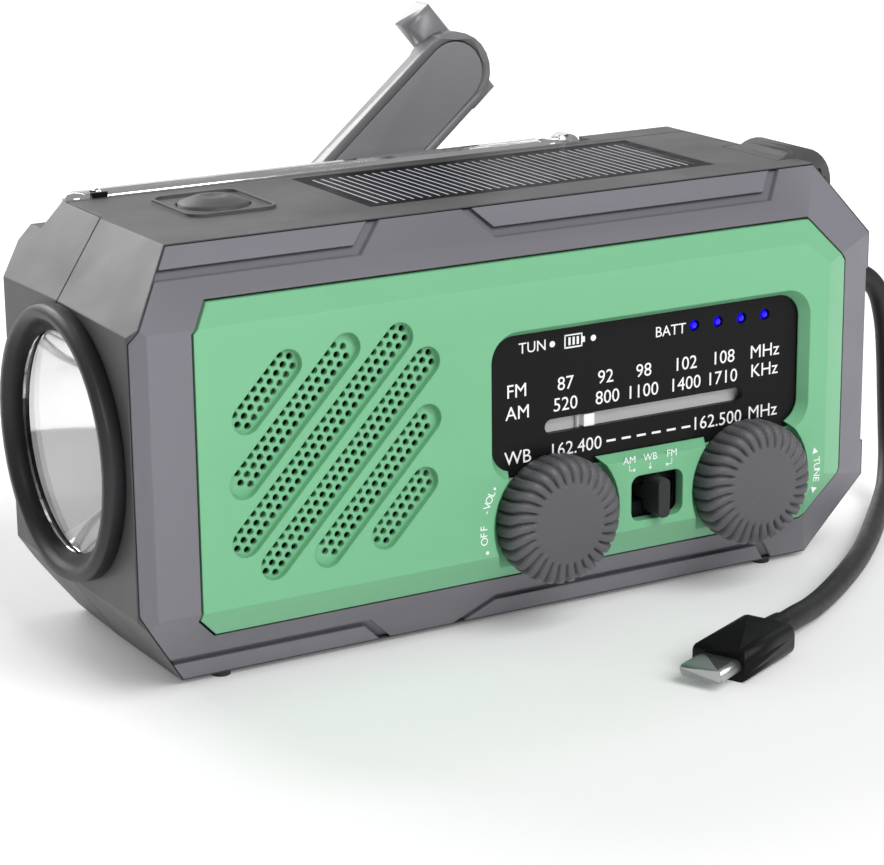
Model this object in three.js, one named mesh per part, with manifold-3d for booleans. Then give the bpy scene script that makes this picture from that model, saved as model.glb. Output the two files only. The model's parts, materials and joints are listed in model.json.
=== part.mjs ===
// Hand-crank emergency radio: faceted three-piece housing, green facia with a dial, two knobs and a
// speaker grille, torch in the left end, solar panel on top, telescopic antenna along the top back
// edge, folding crank on the back and a short power lead from the right end.
// Millimetres. +X to the right as seen from the front, +Y to the back, +Z up. The origin is the
// centre of the rest pad's underside, on the surface that the radio stands on.
import * as THREE from "three";
import Module from "manifold-3d";
import { ConvexGeometry } from "three/addons/geometries/ConvexGeometry.js";
import { mergeVertices } from "three/addons/utils/BufferGeometryUtils.js";

const wasm = await Module();
wasm.setup();

// ---- Housing ----
const LENGTH = 153.4;
const HEIGHT = 75;
const FRONT = -30; // front plane
const BACK = 30; // flat of the back
const END_BACK = 25; // where the ends turn into the back bevel
const BACK_BEVEL = 5;
const FOOT_HEIGHT = 1;
const WALL = 2.4;
const GAP = 0.3; // between pieces that touch
const RUNNING = 0.1; // radial clearance of a pin that turns in its bore
const SEAM_INSET = 0.35; // the frame's edge inside the housing's crease
const FRAME_GAP = 0.15; // round and behind the frame
const SKIN = 2.2; // thickness of the facia and of the frame around it
const BULKHEAD = 1.8; // front wall of the shell behind the frame
const TOP_BEVEL = { depth: 12.8, drop: 11.4 };
const BOTTOM_BEVEL = { depth: 12.6, rise: 15.9 };
const RIGHT_BEVEL = { depth: 10, run: 16.7 };
const LEFT_BEVEL = 2.5;
const CORNERS = {
  topLeft: { x: 11.8, z: 11.9 },
  bottomLeft: { x: 12, z: 15.7 },
  topRight: { x: 11.5, z: 13.7 },
  bottomRight: { x: 11.3, z: 14.4 },
};
const CREASE = 0.5; // how far a corner's crease stands out
const SPLIT_END = 0.5; // where the shells part on the ends
const SPLIT_MIDDLE = 8; // and on the underside
const SPLIT_DECK = 23.4; // and behind the top deck

const LEFT = -LENGTH / 2;
const RIGHT = LENGTH / 2;

// ---- Facia ----
const PANEL = { left: 10.4, right: 10.4, top: 7.9, bottom: 10.2, cutLeft: 4.2, cutRight: 8.6 };
const PANEL_GAP = 0.2; // each side of the line round the facia
const LEDGE = 3;
const GROOVE = { width: 1.5, depth: 0.8, fromTop: 4, fromBottom: 5.2 };

// ---- Controls, from the right end and the underside ----
const KNOB_Z = 20.8;
const TUNING_X = RIGHT - 33.4;
const KNOB_PITCH = 41.3;
const VOLUME_X = TUNING_X - KNOB_PITCH;
const KNOB = { radius: 11.4, face: 6.8, height: 6.7, rim: 4.2, ribs: 30, rib: 0.45 };
const WELL = { radius: 12.9, depth: 2.5, wall: 1.3, floor: 1.4 };
const SHAFT = 3;
const POT = { size: 14.4, depth: 8 };
const SWITCH_X = TUNING_X - KNOB_PITCH / 2 + 0.2;
const SWITCH_Z = 21.6;
const SWITCH_WINDOW = { width: 11, height: 8.4, radius: 1.8 };
const SWITCH_TRAVEL = 4;
const LEVER = { width: 2.4, height: 7.2, proud: 2.3 };

// ---- Dial ----
const DIAL_X = RIGHT - 54.4;
const DIAL_Z = 42.1;
const DIAL = { width: 68.3, height: 27.6, radius: 5.5, slope: 1.9, depth: 1.2, behind: 1.2 };
const SCALE = { left: 23.2, right: 18.7, below: 5.3, height: 2.6 };
const POINTER = { fromLeft: 9.2, width: 2.2 };
const LEDS = { count: 4, first: 9.85, pitch: 5.13, up: 8.75, radius: 0.75 };

// ---- Speaker ----
const SPEAKER_X = LEFT + 35.8;
const SPEAKER_Z = 39.7;
const GRILLE = { angle: 46.5, pitch: 6.95, width: 5.3, depth: 1.3, lengths: [11, 27.8, 42] };
const CONE = { radius: 18.5, depth: 13, shift: 2.4 };

// ---- Torch in the left end ----
const TORCH_Y = -2;
const TORCH_Z = 40;
const TORCH = { bezel: 23.5, mouth: 21.6, opening: 18.9, proud: 3.5, lensAt: 0.6, depth: 16, hole: 4.2, lens: 1.2 };

// ---- Top deck ----
const BUTTON_X = LEFT + 32.9;
const BUTTON_Y = 8.8;
const BUTTON = { radius: 6.3, dome: 1.5, pad: [17, 19], ridge: 0.7, rise: 0.45 };
const SOLAR = { left: 54.4, right: 27, front: 21.5, behind: 1.9, depth: 1.5, cell: 1.1 };

// ---- Telescopic antenna ----
const ANTENNA_Y = 28.3;
const ANTENNA_DROP = 1.5; // axis below the top face
const ANTENNA_PIVOT_X = RIGHT - 36.7;
const ANTENNA_LENGTH = 97; // pivot to the mouth of the outer tube
const TUBES = [
  { outer: 2.5, inner: 2.2 },
  { outer: 2.03, inner: 1.75 },
  { outer: 1.58, inner: 1.3 },
];
const ROD = 1.1;
const TUBE_STEP = 0.6; // how far each stowed section stands out of the last
const ANTENNA_TIP = { radius: 2.4, length: 5 };
const CHANNEL = { depth: 4.4, front: 3.1, end: 4.6 };
const PIVOT_PIN = 1;

// ---- Crank ----
const CRANK_X = LEFT + 43.7;
const CRANK_Z = 44.8;
const CRANK_ANGLE = 40.5; // degrees above +X
const ARM = { length: 68, width: 15.8, thickness: 3.4, clear: 3.3, border: 1.5, cover: 0.8 };
const HUB = { radius: 8, shaft: 3.9, lug: 5.8, pin: 1.2, ear: 2.6 };
const GRIP = { length: 22.4, width: 6.2, offset: 3.5, neck: 6.8, neckLength: 1.4, depth: 8, taper: 3 };
const GRIP_AXLE = 2;
const AXLE_HEAD = { start: 1.2, end: 2.1 }; // from the arm's inner face

// ---- Gear train and dynamo ----
const CRANK_GEAR = { teeth: 36, module: 0.9, width: 4 };
const IDLER_PINION = { teeth: 12, module: 0.9, width: 4.4 };
const IDLER_GEAR = { teeth: 30, module: 0.7, width: 3.4 };
const DYNAMO_PINION = { teeth: 10, module: 0.7, width: 4.4 };
const BACKLASH = 0.16; // share of a tooth's pitch
const DYNAMO = { radius: 12, length: 14 };
const IDLER_PIN = 1.5;

// ---- Power, board and fasteners ----
const CELL = { radius: 9.1, length: 65 };
const DOOR = { length: 58, front: 9.5, back: 23 };
const BOARD = { left: 14, right: 57, bottom: 9, top: 66, y: -15.5, thickness: 1.6 };
const SCREW = { head: 2.8, shank: 1.4, seat: 2.6, length: 30, endInset: 14.7, low: 12, fromTop: 15 };
const BOSS = 3.4;
const FOOT = { radius: 1.7, endInset: 20, front: -15.4, back: 20 };
const PAD = { length: 36, width: 10, radius: 3 };

// ---- Ports and lead on the right end ----
const RECESS = { depth: 0.9, low: 21, high: 54.6 };
const PORT_Y = 12;
const USB_A_Z = 44.5;
const USB_C_Z = 30;
const USB_A = { width: 13.2, height: 5.8, depth: 14, wall: 0.4 };
const USB_C = { width: 9.4, height: 3.6, depth: 7.5 };
const LEAD = { radius: 2.1, body: [16, 7.6], bodyLength: 16, plugHalf: 2.9 };
const LUG = { y: -3, width: 17, radius: 7, endInset: 8.7, drop: 5.6, eye: 1.5, out: 4.2 };
const RELIEF_LENGTH = 5;

// ---- Materials ----
const material = (color, roughness, metalness = 0) =>
  new THREE.MeshStandardMaterial({ color, roughness, metalness });
const shellGrey = material(0x5c5c60, 0.55);
const frameGrey = material(0x747279, 0.5);
const faciaGreen = material(0x84cc9b, 0.5);
const knobGrey = material(0x69686c, 0.6);
const blackPlastic = material(0x141414, 0.4);
const paleGrey = material(0xafafaf, 0.5);
const white = material(0xf2f2f2, 0.5);
const blueLens = material(0x1400ff, 0.3);
const chrome = material(0xd8dadc, 0.12, 1);
const steel = material(0x9a9c9e, 0.35, 1);
const crankGrey = material(0x6f6f71, 0.45);
const clearPlastic = material(0xeef2f4, 0.05);
const solarBlack = material(0x101114, 0.2);
const boardGreen = material(0x1d5a34, 0.5);
const gearWhite = material(0xdedbd0, 0.5);
const rubber = material(0x2a2a2c, 0.8);
const cellBlue = material(0x2f5f9e, 0.4);
const torchBlack = material(0x343437, 0.5);
const paper = material(0x1b1b1b, 0.9);

// ---- Booleans ----
function solid(geometry) {
  const bare = geometry.clone();
  bare.deleteAttribute("normal");
  bare.deleteAttribute("uv");
  const merged = mergeVertices(bare, 1e-4);
  const vertProperties = new Float32Array(merged.attributes.position.array);
  const triVerts = new Uint32Array(merged.index.array);
  return new wasm.Manifold(new wasm.Mesh({ numProp: 3, vertProperties, triVerts }));
}

function geometryOf(manifold) {
  const mesh = manifold.getMesh();
  const geometry = new THREE.BufferGeometry();
  geometry.setAttribute("position", new THREE.BufferAttribute(new Float32Array(mesh.vertProperties), 3));
  geometry.setIndex(new THREE.BufferAttribute(new Uint32Array(mesh.triVerts), 1));
  geometry.computeVertexNormals();
  return geometry;
}

const cut = (base, ...tools) => tools.reduce((left, tool) => left.subtract(tool), base);
const join = (...parts) => parts.reduce((sum, part) => sum.add(part));

// ---- Shapes, as solids ----
function block([x0, x1], [y0, y1], [z0, z1]) {
  const geometry = new THREE.BoxGeometry(x1 - x0, y1 - y0, z1 - z0);
  return solid(geometry.translate((x0 + x1) / 2, (y0 + y1) / 2, (z0 + z1) / 2));
}

function discX(radius, [x0, x1], y, z, segments = 32) {
  const geometry = new THREE.CylinderGeometry(radius, radius, x1 - x0, segments);
  return solid(geometry.rotateZ(-Math.PI / 2).translate((x0 + x1) / 2, y, z));
}

function discY(radius, [y0, y1], x, z, segments = 32) {
  const geometry = new THREE.CylinderGeometry(radius, radius, y1 - y0, segments);
  return solid(geometry.translate(x, (y0 + y1) / 2, z));
}

function discZ(radius, [z0, z1], x, y, segments = 32) {
  const geometry = new THREE.CylinderGeometry(radius, radius, z1 - z0, segments);
  return solid(geometry.rotateX(Math.PI / 2).translate(x, y, (z0 + z1) / 2));
}

function outlineShape(points) {
  return new THREE.Shape(points.map(([u, v]) => new THREE.Vector2(u, v)));
}

function extruded(shape, length) {
  return new THREE.ExtrudeGeometry(shape, { depth: length, bevelEnabled: false, curveSegments: 6 });
}

// Outline in X and Z, swept from y0 to y1.
function prismY(outline, [y0, y1]) {
  const shape = outline instanceof THREE.Shape ? outline : outlineShape(outline);
  return solid(extruded(shape, y1 - y0).rotateX(Math.PI / 2).translate(0, y1, 0));
}

// Outline in X and Y, swept from z0 to z1.
function prismZ(outline, [z0, z1]) {
  const shape = outline instanceof THREE.Shape ? outline : outlineShape(outline);
  return solid(extruded(shape, z1 - z0).translate(0, 0, z0));
}

// Outline in Y and Z, swept from x0 to x1.
function prismX(outline, [x0, x1]) {
  const shape = outline instanceof THREE.Shape ? outline : outlineShape(outline);
  const turn = new THREE.Matrix4().makeBasis(
    new THREE.Vector3(0, 1, 0),
    new THREE.Vector3(0, 0, 1),
    new THREE.Vector3(1, 0, 0),
  );
  return solid(extruded(shape, x1 - x0).applyMatrix4(turn).translate(x0, 0, 0));
}

function roundedRectangle(centreU, centreV, width, height, radius) {
  const shape = new THREE.Shape();
  const u = centreU - width / 2;
  const v = centreV - height / 2;
  shape.moveTo(u + radius, v);
  shape.lineTo(u + width - radius, v);
  shape.absarc(u + width - radius, v + radius, radius, -Math.PI / 2, 0);
  shape.lineTo(u + width, v + height - radius);
  shape.absarc(u + width - radius, v + height - radius, radius, 0, Math.PI / 2);
  shape.lineTo(u + radius, v + height);
  shape.absarc(u + radius, v + height - radius, radius, Math.PI / 2, Math.PI);
  shape.lineTo(u, v + radius);
  shape.absarc(u + radius, v + radius, radius, Math.PI, Math.PI * 1.5);
  return shape;
}

// Bar with round ends; length is between the centres of the ends.
function roundEndedBar(centreU, centreV, length, radius, angle) {
  const shape = new THREE.Shape();
  const du = (Math.cos(angle) * length) / 2;
  const dv = (Math.sin(angle) * length) / 2;
  const quarter = Math.PI / 2;
  shape.absarc(centreU + du, centreV + dv, radius, angle - quarter, angle + quarter);
  shape.absarc(centreU - du, centreV - dv, radius, angle + quarter, angle + 3 * quarter);
  shape.closePath();
  return shape;
}

// Strip of a given width along a line of points.
function strip(points, width) {
  const left = [];
  const right = [];
  points.forEach(([u, v], i) => {
    const [pu, pv] = points[Math.max(i - 1, 0)];
    const [nu, nv] = points[Math.min(i + 1, points.length - 1)];
    const before = new THREE.Vector2(u - pu, v - pv).normalize();
    const after = new THREE.Vector2(nu - u, nv - v).normalize();
    const along = before.clone().add(after).normalize();
    const first = i === 0 ? after : before;
    const half = width / 2 / along.dot(first);
    left.push([u - along.y * half, v + along.x * half]);
    right.unshift([u + along.y * half, v - along.x * half]);
  });
  return [...left, ...right];
}

// Solid of revolution about Z from a profile of [radius, height] that starts and ends on the axis.
function turned(profile, segments = 48) {
  const points = profile.map(([radius, height]) => new THREE.Vector2(radius, height));
  return new THREE.LatheGeometry(points, segments).rotateX(Math.PI / 2);
}

// The same, standing out along -Y or -X.
const turnedFront = (profile, segments) => turned(profile, segments).rotateX(Math.PI / 2);
const turnedLeft = (profile, segments) => turned(profile, segments).rotateY(-Math.PI / 2);

// ---- Planes and the faceted housing ----
const HOUSING_CENTRE = new THREE.Vector3(0, 0, HEIGHT / 2);

function planeThrough(a, b, c) {
  const plane = new THREE.Plane().setFromCoplanarPoints(
    new THREE.Vector3(...a),
    new THREE.Vector3(...b),
    new THREE.Vector3(...c),
  );
  return plane.distanceToPoint(HOUSING_CENTRE) > 0 ? plane.negate() : plane;
}

function inset(planes, amount) {
  return planes.map((plane) => new THREE.Plane(plane.normal.clone(), plane.constant + amount));
}

// Convex solid inside all the planes.
function polytope(planes) {
  const corners = [];
  const inverse = new THREE.Matrix3();
  for (let i = 0; i < planes.length; i += 1) {
    for (let j = i + 1; j < planes.length; j += 1) {
      for (let k = j + 1; k < planes.length; k += 1) {
        const [a, b, c] = [planes[i], planes[j], planes[k]];
        const n = [a.normal, b.normal, c.normal];
        inverse.set(n[0].x, n[0].y, n[0].z, n[1].x, n[1].y, n[1].z, n[2].x, n[2].y, n[2].z);
        if (Math.abs(inverse.determinant()) < 1e-4) continue;
        const corner = new THREE.Vector3(-a.constant, -b.constant, -c.constant);
        corner.applyMatrix3(inverse.invert());
        const isInside = planes.every((plane) => plane.distanceToPoint(corner) < 1e-5);
        const isNew = corners.every((other) => other.distanceTo(corner) > 1e-3);
        if (isInside && isNew) corners.push(corner);
      }
    }
  }
  return solid(new ConvexGeometry(corners));
}

// The two facets of a corner, which meet in a crease where the shells part.
function cornerFacets(end, corner, isTop) {
  const side = Math.sign(end);
  const endZ = isTop ? HEIGHT - corner.z : corner.z;
  const out = isTop ? CREASE : -CREASE;
  const flatZ = isTop ? HEIGHT : 0;
  const creaseEnd = [end, SPLIT_END, endZ + out];
  const creaseFlat = [end - side * (corner.x - CREASE), SPLIT_MIDDLE, flatZ];
  const middle = [end - (side * corner.x) / 2, 0, (endZ + flatZ) / 2];
  const front = [middle[0], FRONT + LEFT_BEVEL, middle[2]];
  const rear = [middle[0], END_BACK, middle[2]];
  return [planeThrough(creaseEnd, creaseFlat, front), planeThrough(creaseEnd, creaseFlat, rear)];
}

const along = (point, axis) => point.map((value, i) => value + axis[i]);
const ALONG_X = [1, 0, 0];
const ALONG_Z = [0, 0, 1];

const endLeft = planeThrough([LEFT, 0, 0], [LEFT, 1, 0], [LEFT, 0, 1]);
const endRight = planeThrough([RIGHT, 0, 0], [RIGHT, 1, 0], [RIGHT, 0, 1]);
const under = planeThrough([0, 0, 0], [1, 0, 0], [0, 1, 0]);
const top = planeThrough([0, 0, HEIGHT], [1, 0, HEIGHT], [0, 1, HEIGHT]);
const topLeft = cornerFacets(LEFT, CORNERS.topLeft, true);
const bottomLeft = cornerFacets(LEFT, CORNERS.bottomLeft, false);
const topRight = cornerFacets(RIGHT, CORNERS.topRight, true);
const bottomRight = cornerFacets(RIGHT, CORNERS.bottomRight, false);

const front = planeThrough([0, FRONT, 0], [1, FRONT, 0], [0, FRONT, 1]);
const topBevel = planeThrough(
  [0, FRONT, HEIGHT - TOP_BEVEL.drop],
  [1, FRONT, HEIGHT - TOP_BEVEL.drop],
  [0, FRONT + TOP_BEVEL.depth, HEIGHT],
);
const bottomBevel = planeThrough(
  [0, FRONT, BOTTOM_BEVEL.rise],
  [1, FRONT, BOTTOM_BEVEL.rise],
  [0, FRONT + BOTTOM_BEVEL.depth, 0],
);
const leftBevel = planeThrough(
  [LEFT + LEFT_BEVEL, FRONT, 0],
  along([LEFT + LEFT_BEVEL, FRONT, 0], ALONG_Z),
  [LEFT, FRONT + LEFT_BEVEL, 0],
);
const rightBevelX = RIGHT - RIGHT_BEVEL.run;
const rightBevel = planeThrough(
  [rightBevelX, FRONT, 0],
  along([rightBevelX, FRONT, 0], ALONG_Z),
  [RIGHT, FRONT + RIGHT_BEVEL.depth, 0],
);
const topRightBevel = planeThrough(
  [RIGHT - CORNERS.topRight.x, FRONT + TOP_BEVEL.depth, HEIGHT],
  [RIGHT, FRONT + RIGHT_BEVEL.depth, HEIGHT - CORNERS.topRight.z],
  [rightBevelX - 5.3, FRONT, HEIGHT - TOP_BEVEL.drop],
);
const bottomRightBevel = planeThrough(
  [RIGHT - CORNERS.bottomRight.x, FRONT + BOTTOM_BEVEL.depth, 0],
  [RIGHT, FRONT + RIGHT_BEVEL.depth, CORNERS.bottomRight.z],
  [rightBevelX - 4.5, FRONT, BOTTOM_BEVEL.rise],
);

const back = planeThrough([0, BACK, 0], [1, BACK, 0], [0, BACK, 1]);
const backBevels = [LEFT, RIGHT].map((end) =>
  planeThrough(
    [end, END_BACK, 0],
    along([end, END_BACK, 0], ALONG_Z),
    [end - Math.sign(end) * BACK_BEVEL, BACK, 0],
  ),
);
const underBevel = planeThrough(
  [0, BACK - BACK_BEVEL / 2, 0],
  along([0, BACK - BACK_BEVEL / 2, 0], ALONG_X),
  [0, BACK, BACK_BEVEL],
);

const SIDES = [endLeft, endRight, under, top, ...topLeft, ...bottomLeft, ...topRight, ...bottomRight];
const FACES = [front, topBevel, bottomBevel, leftBevel, rightBevel, topRightBevel, bottomRightBevel];
const BACKS = [back, ...backBevels, underBevel];
const SEAM_TILT = 13;

// Side of the front frame: a plane through a crease, leaning inward towards the back.
function seamPlane(side, bevel) {
  const line = side.normal.clone().cross(bevel.normal).normalize();
  const inward = line.clone().cross(side.normal);
  if (inward.y < 0) inward.negate();
  const angle = THREE.MathUtils.degToRad(SEAM_TILT);
  const normal = side.normal.clone().multiplyScalar(Math.cos(angle));
  normal.addScaledVector(inward, Math.sin(angle));
  const across = side.normal.dot(bevel.normal);
  const share = 1 / (1 - across * across);
  const onSide = (-side.constant + across * bevel.constant) * share;
  const onBevel = (-bevel.constant + across * side.constant) * share;
  const point = side.normal.clone().multiplyScalar(onSide).addScaledVector(bevel.normal, onBevel);
  return new THREE.Plane().setFromNormalAndCoplanarPoint(normal, point);
}

const SEAMS = [
  seamPlane(endLeft, leftBevel),
  seamPlane(endRight, rightBevel),
  seamPlane(under, bottomBevel),
  seamPlane(top, topBevel),
  seamPlane(topLeft[0], topBevel),
  seamPlane(bottomLeft[0], bottomBevel),
  seamPlane(topRight[0], topRightBevel),
  seamPlane(bottomRight[0], bottomRightBevel),
];

const outer = polytope([...SIDES, ...FACES, ...BACKS]);

// Everything deeper than some distance behind the front and its bevels.
const behind = (depth) =>
  polytope([...inset(SIDES, -1), ...inset(FACES, depth), ...inset(BACKS, -1)]);

// Skin over the front and its bevels, inside the seams; a cutter stands proud of it.
function facing(seamInset, skin, proud = 0) {
  const region = polytope([...inset(SEAMS, seamInset), ...inset(FACES, -proud), ...BACKS]);
  return region.subtract(behind(skin));
}

// Outline of the facia, moved inward by some amount.
function panelOutline(amount) {
  const left = LEFT + PANEL.left + amount;
  const right = RIGHT - PANEL.right - amount;
  const high = HEIGHT - PANEL.top - amount;
  const low = PANEL.bottom + amount;
  const cutLeft = PANEL.cutLeft - amount * 0.6;
  const cutRight = PANEL.cutRight - amount * 0.6;
  return [
    [left, low + cutLeft],
    [left + cutLeft, low],
    [right - cutRight, low],
    [right, low + cutRight],
    [right, high - cutRight],
    [right - cutRight, high],
    [left + cutLeft, high],
    [left, high - cutLeft],
  ];
}

// ---- Pieces ----
function piece(name, shape, finish) {
  const mesh = new THREE.Mesh(shape.isBufferGeometry ? shape : geometryOf(shape), finish);
  mesh.name = name;
  return mesh;
}

const DEPTHS = [FRONT - 10, BACK + 10];

function grooveTools() {
  const high = HEIGHT - GROOVE.fromTop;
  const low = GROOVE.fromBottom;
  const rise = GROOVE.fromTop + 1;
  const fall = GROOVE.fromBottom + 1;
  const leftStop = LEFT + 44.7;
  const middle = LEFT + 71.2;
  const rightStop = RIGHT - 24.9;
  const lines = [
    [[LEFT - 5, high], [leftStop, high], [leftStop + 7, high + rise]],
    [[middle - 4.3, high + rise], [middle, high], [rightStop, high], [rightStop + 6, high + rise]],
    [[LEFT - 5, low], [leftStop + 0.6, low], [leftStop + 7.5, low - fall]],
    [[middle - 7, low - fall], [middle, low], [rightStop, low], [rightStop + 6, low - fall]],
  ];
  const below = behind(GROOVE.depth);
  return lines.map((line) => prismY(strip(line, GROOVE.width), DEPTHS).subtract(below));
}

function frontFrame() {
  const opening = prismY(panelOutline(-PANEL_GAP), DEPTHS);
  return cut(facing(SEAM_INSET, SKIN), opening, ...grooveTools(), ...wellTools(), portRecess());
}

function wellTools() {
  const depth = [FRONT - 10, FRONT + WELL.depth];
  return [VOLUME_X, TUNING_X].map((x) => discY(WELL.radius, depth, x, KNOB_Z, 48));
}

// Opening of the dial, with walls that slope in from the front to the back of the facia.
function dialOpening() {
  const steps = [[FRONT - 1, 0], [FRONT + SKIN + 0.2, DIAL.slope]];
  const points = steps.flatMap(([y, inward]) => {
    const width = DIAL.width - 2 * inward;
    const height = DIAL.height - 2 * inward;
    const shape = roundedRectangle(DIAL_X, DIAL_Z, width, height, DIAL.radius - inward * 0.6);
    return shape.getPoints(6).map((point) => new THREE.Vector3(point.x, y, point.y));
  });
  return solid(new ConvexGeometry(points));
}

function grilleSlots(depth) {
  const angle = THREE.MathUtils.degToRad(GRILLE.angle);
  const count = GRILLE.lengths.length;
  return Array.from({ length: 2 * count }, (_, i) => {
    const step = i - count + 0.5;
    const length = GRILLE.lengths[i < count ? i : 2 * count - 1 - i];
    const x = SPEAKER_X - Math.sin(angle) * step * GRILLE.pitch;
    const z = SPEAKER_Z + Math.cos(angle) * step * GRILLE.pitch;
    return prismY(roundEndedBar(x, z, length, GRILLE.width / 2, angle), depth);
  });
}

function platePlace() {
  const grow = DIAL.behind - DIAL.slope;
  return { width: DIAL.width + 2 * grow, height: DIAL.height + 2 * grow, radius: DIAL.radius };
}

function frontPanel() {
  const outline = prismY(panelOutline(PANEL_GAP), DEPTHS);
  const skin = outer.subtract(behind(SKIN)).intersect(outline);
  const cupDepth = [FRONT + SKIN / 2, FRONT + WELL.depth + WELL.floor];
  const cups = [VOLUME_X, TUNING_X].map((x) =>
    discY(WELL.radius + WELL.wall, cupDepth, x, KNOB_Z, 48)
      .intersect(prismY(panelOutline(LEDGE + GAP), DEPTHS))
      .intersect(outer),
  );
  const plate = platePlace();
  const shape = roundedRectangle(
    DIAL_X, DIAL_Z, plate.width + 2 * GAP, plate.height + 2 * GAP, plate.radius);
  const platePocket = prismY(shape, [FRONT + SKIN - 0.02, 0]);
  const shafts = [VOLUME_X, TUNING_X].map((x) => discY(SHAFT + 1, DEPTHS, x, KNOB_Z));
  const window = SWITCH_WINDOW;
  const switchHole = prismY(
    roundedRectangle(SWITCH_X, SWITCH_Z, window.width, window.height, window.radius), DEPTHS);
  const slots = grilleSlots([FRONT - 1, FRONT + GRILLE.depth]);
  const tools = [...wellTools(), dialOpening(), platePocket, ...shafts, switchHole, ...slots];
  return cut(join(skin, ...cups), ...tools);
}

// The part of the housing in front of the split between the shells.
function frontOfSplit(shift) {
  const reach = LENGTH / 2 + 5;
  const shoulder = Math.max(CORNERS.topLeft.x, CORNERS.bottomLeft.x);
  const outline = [
    [-reach, FRONT - 5],
    [reach, FRONT - 5],
    [reach, SPLIT_END + shift],
    [RIGHT, SPLIT_END + shift],
    [RIGHT - shoulder, SPLIT_MIDDLE + shift],
    [LEFT + shoulder, SPLIT_MIDDLE + shift],
    [LEFT, SPLIT_END + shift],
    [-reach, SPLIT_END + shift],
  ];
  const deckLeft = LEFT + shoulder - shift;
  const deckRight = RIGHT - shoulder + shift;
  const deck = block(
    [deckLeft, deckRight], [FRONT, SPLIT_DECK + shift], [HEIGHT - WALL - shift, HEIGHT + 5]);
  return prismZ(outline, [-5, HEIGHT + 5]).add(deck);
}

function cavity() {
  return polytope([
    ...inset(SIDES, WALL),
    ...inset(FACES, SKIN + FRAME_GAP + BULKHEAD),
    ...inset(BACKS, WALL),
  ]);
}

function portRecess() {
  return block([RIGHT - RECESS.depth, RIGHT + 5], DEPTHS, [RECESS.low, RECESS.high]);
}

function torchHole() {
  return discX(TORCH.bezel - 2.3, [LEFT - 5, LEFT + 12], TORCH_Y, TORCH_Z, 48);
}

function portHoles() {
  const span = [RIGHT - 10, RIGHT + 5];
  const a = roundedRectangle(PORT_Y, USB_A_Z, USB_A.width + 2 * GAP, USB_A.height + 2 * GAP, 0.6);
  const c = roundedRectangle(PORT_Y, USB_C_Z, USB_C.width + 2 * GAP, USB_C.height + 2 * GAP, 1.7);
  return [prismX(a, span), prismX(c, span)];
}

const SCREW_PLACES = [LEFT + SCREW.endInset, RIGHT - SCREW.endInset].flatMap((x) => [
  [x, SCREW.low],
  [x, HEIGHT - SCREW.fromTop],
]);

function solarPocket() {
  const x = [LEFT + SOLAR.left, RIGHT - SOLAR.right];
  const y = [FRONT + SOLAR.front, SPLIT_DECK - SOLAR.behind];
  return block(x, y, [HEIGHT - SOLAR.depth, HEIGHT + 5]);
}

function buttonRidge() {
  const [width, depth] = BUTTON.pad;
  const rise = [HEIGHT - 0.5, HEIGHT + BUTTON.rise];
  const outside = roundedRectangle(BUTTON_X, BUTTON_Y, width, depth, 3);
  const inside = roundedRectangle(
    BUTTON_X, BUTTON_Y, width - 2 * BUTTON.ridge, depth - 2 * BUTTON.ridge, 3 - BUTTON.ridge);
  return prismZ(outside, rise).subtract(prismZ(inside, [HEIGHT - 1, HEIGHT + 2]));
}

function strapLug() {
  const x = RIGHT - LUG.endInset;
  const z = HEIGHT - LUG.drop;
  const reach = LUG.width / 2;
  const hump = discY(LUG.radius, [LUG.y - reach, LUG.y + reach], x, z, 32);
  const narrow = discY(LUG.radius - 2, [LUG.y - reach - 1, LUG.y + reach + 1], x, z, 32);
  const ends = [LUG.y - reach, LUG.y + reach - 1.4].map((y) =>
    discY(LUG.radius + 1, [y, y + 1.4], x, z, 32).subtract(narrow));
  const eye = discY(LUG.eye, [LUG.y - LUG.width, LUG.y + LUG.width], x + LUG.out * 0.8, z + LUG.out * 0.4, 16);
  return cut(hump, ...ends, eye);
}

function frontShell() {
  const frameSpace = facing(SEAM_INSET - FRAME_GAP, SKIN + FRAME_GAP, 1);
  const opening = prismY(panelOutline(LEDGE), [FRONT - 5, FRONT + TOP_BEVEL.depth + 6]);
  const depth = [FRONT + SKIN + BULKHEAD + 0.5, SPLIT_MIDDLE - GAP];
  const behindFrame = behind(SKIN + FRAME_GAP + BULKHEAD / 2);
  const inFront = frontOfSplit(0);
  const bosses = SCREW_PLACES.map(([x, z]) => discY(BOSS, depth, x, z, 20).intersect(behindFrame));
  const holes = SCREW_PLACES.map(([x, z]) =>
    discY(SCREW.shank + GAP, [FRONT + 14, BACK], x, z, 16));
  const button = discZ(BUTTON.radius + GAP, [HEIGHT - 10, HEIGHT + 5], BUTTON_X, BUTTON_Y);
  const shell = cut(outer.intersect(inFront), frameSpace, cavity());
  const body = join(cut(shell, opening), ...bosses, buttonRidge());
  return cut(body, ...holes, torchHole(), portRecess(), ...portHoles(), solarPocket(), button, lugSpace());
}

function lugSpace() {
  return block(
    [RIGHT - CORNERS.topRight.x - 4, RIGHT + 5],
    [LUG.y - LUG.width / 2 - GAP, LUG.y + LUG.width / 2 + GAP],
    [HEIGHT - CORNERS.topRight.z - 1.5, HEIGHT + 5],
  );
}

function channel() {
  const end = ANTENNA_PIVOT_X + CHANNEL.end;
  const front = ANTENNA_Y - CHANNEL.front;
  const bottom = HEIGHT - CHANNEL.depth;
  const knuckle = discY(CHANNEL.end - 0.6, [front, BACK + 5], ANTENNA_PIVOT_X, antennaZ());
  return block([LEFT - 5, end], [front, BACK + 5], [bottom, HEIGHT + 5]).add(knuckle);
}

const antennaZ = () => HEIGHT - ANTENNA_DROP;

const stowX = CRANK_X + ARM.length;
const POCKET_FLOOR = BACK - 6.4;

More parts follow.
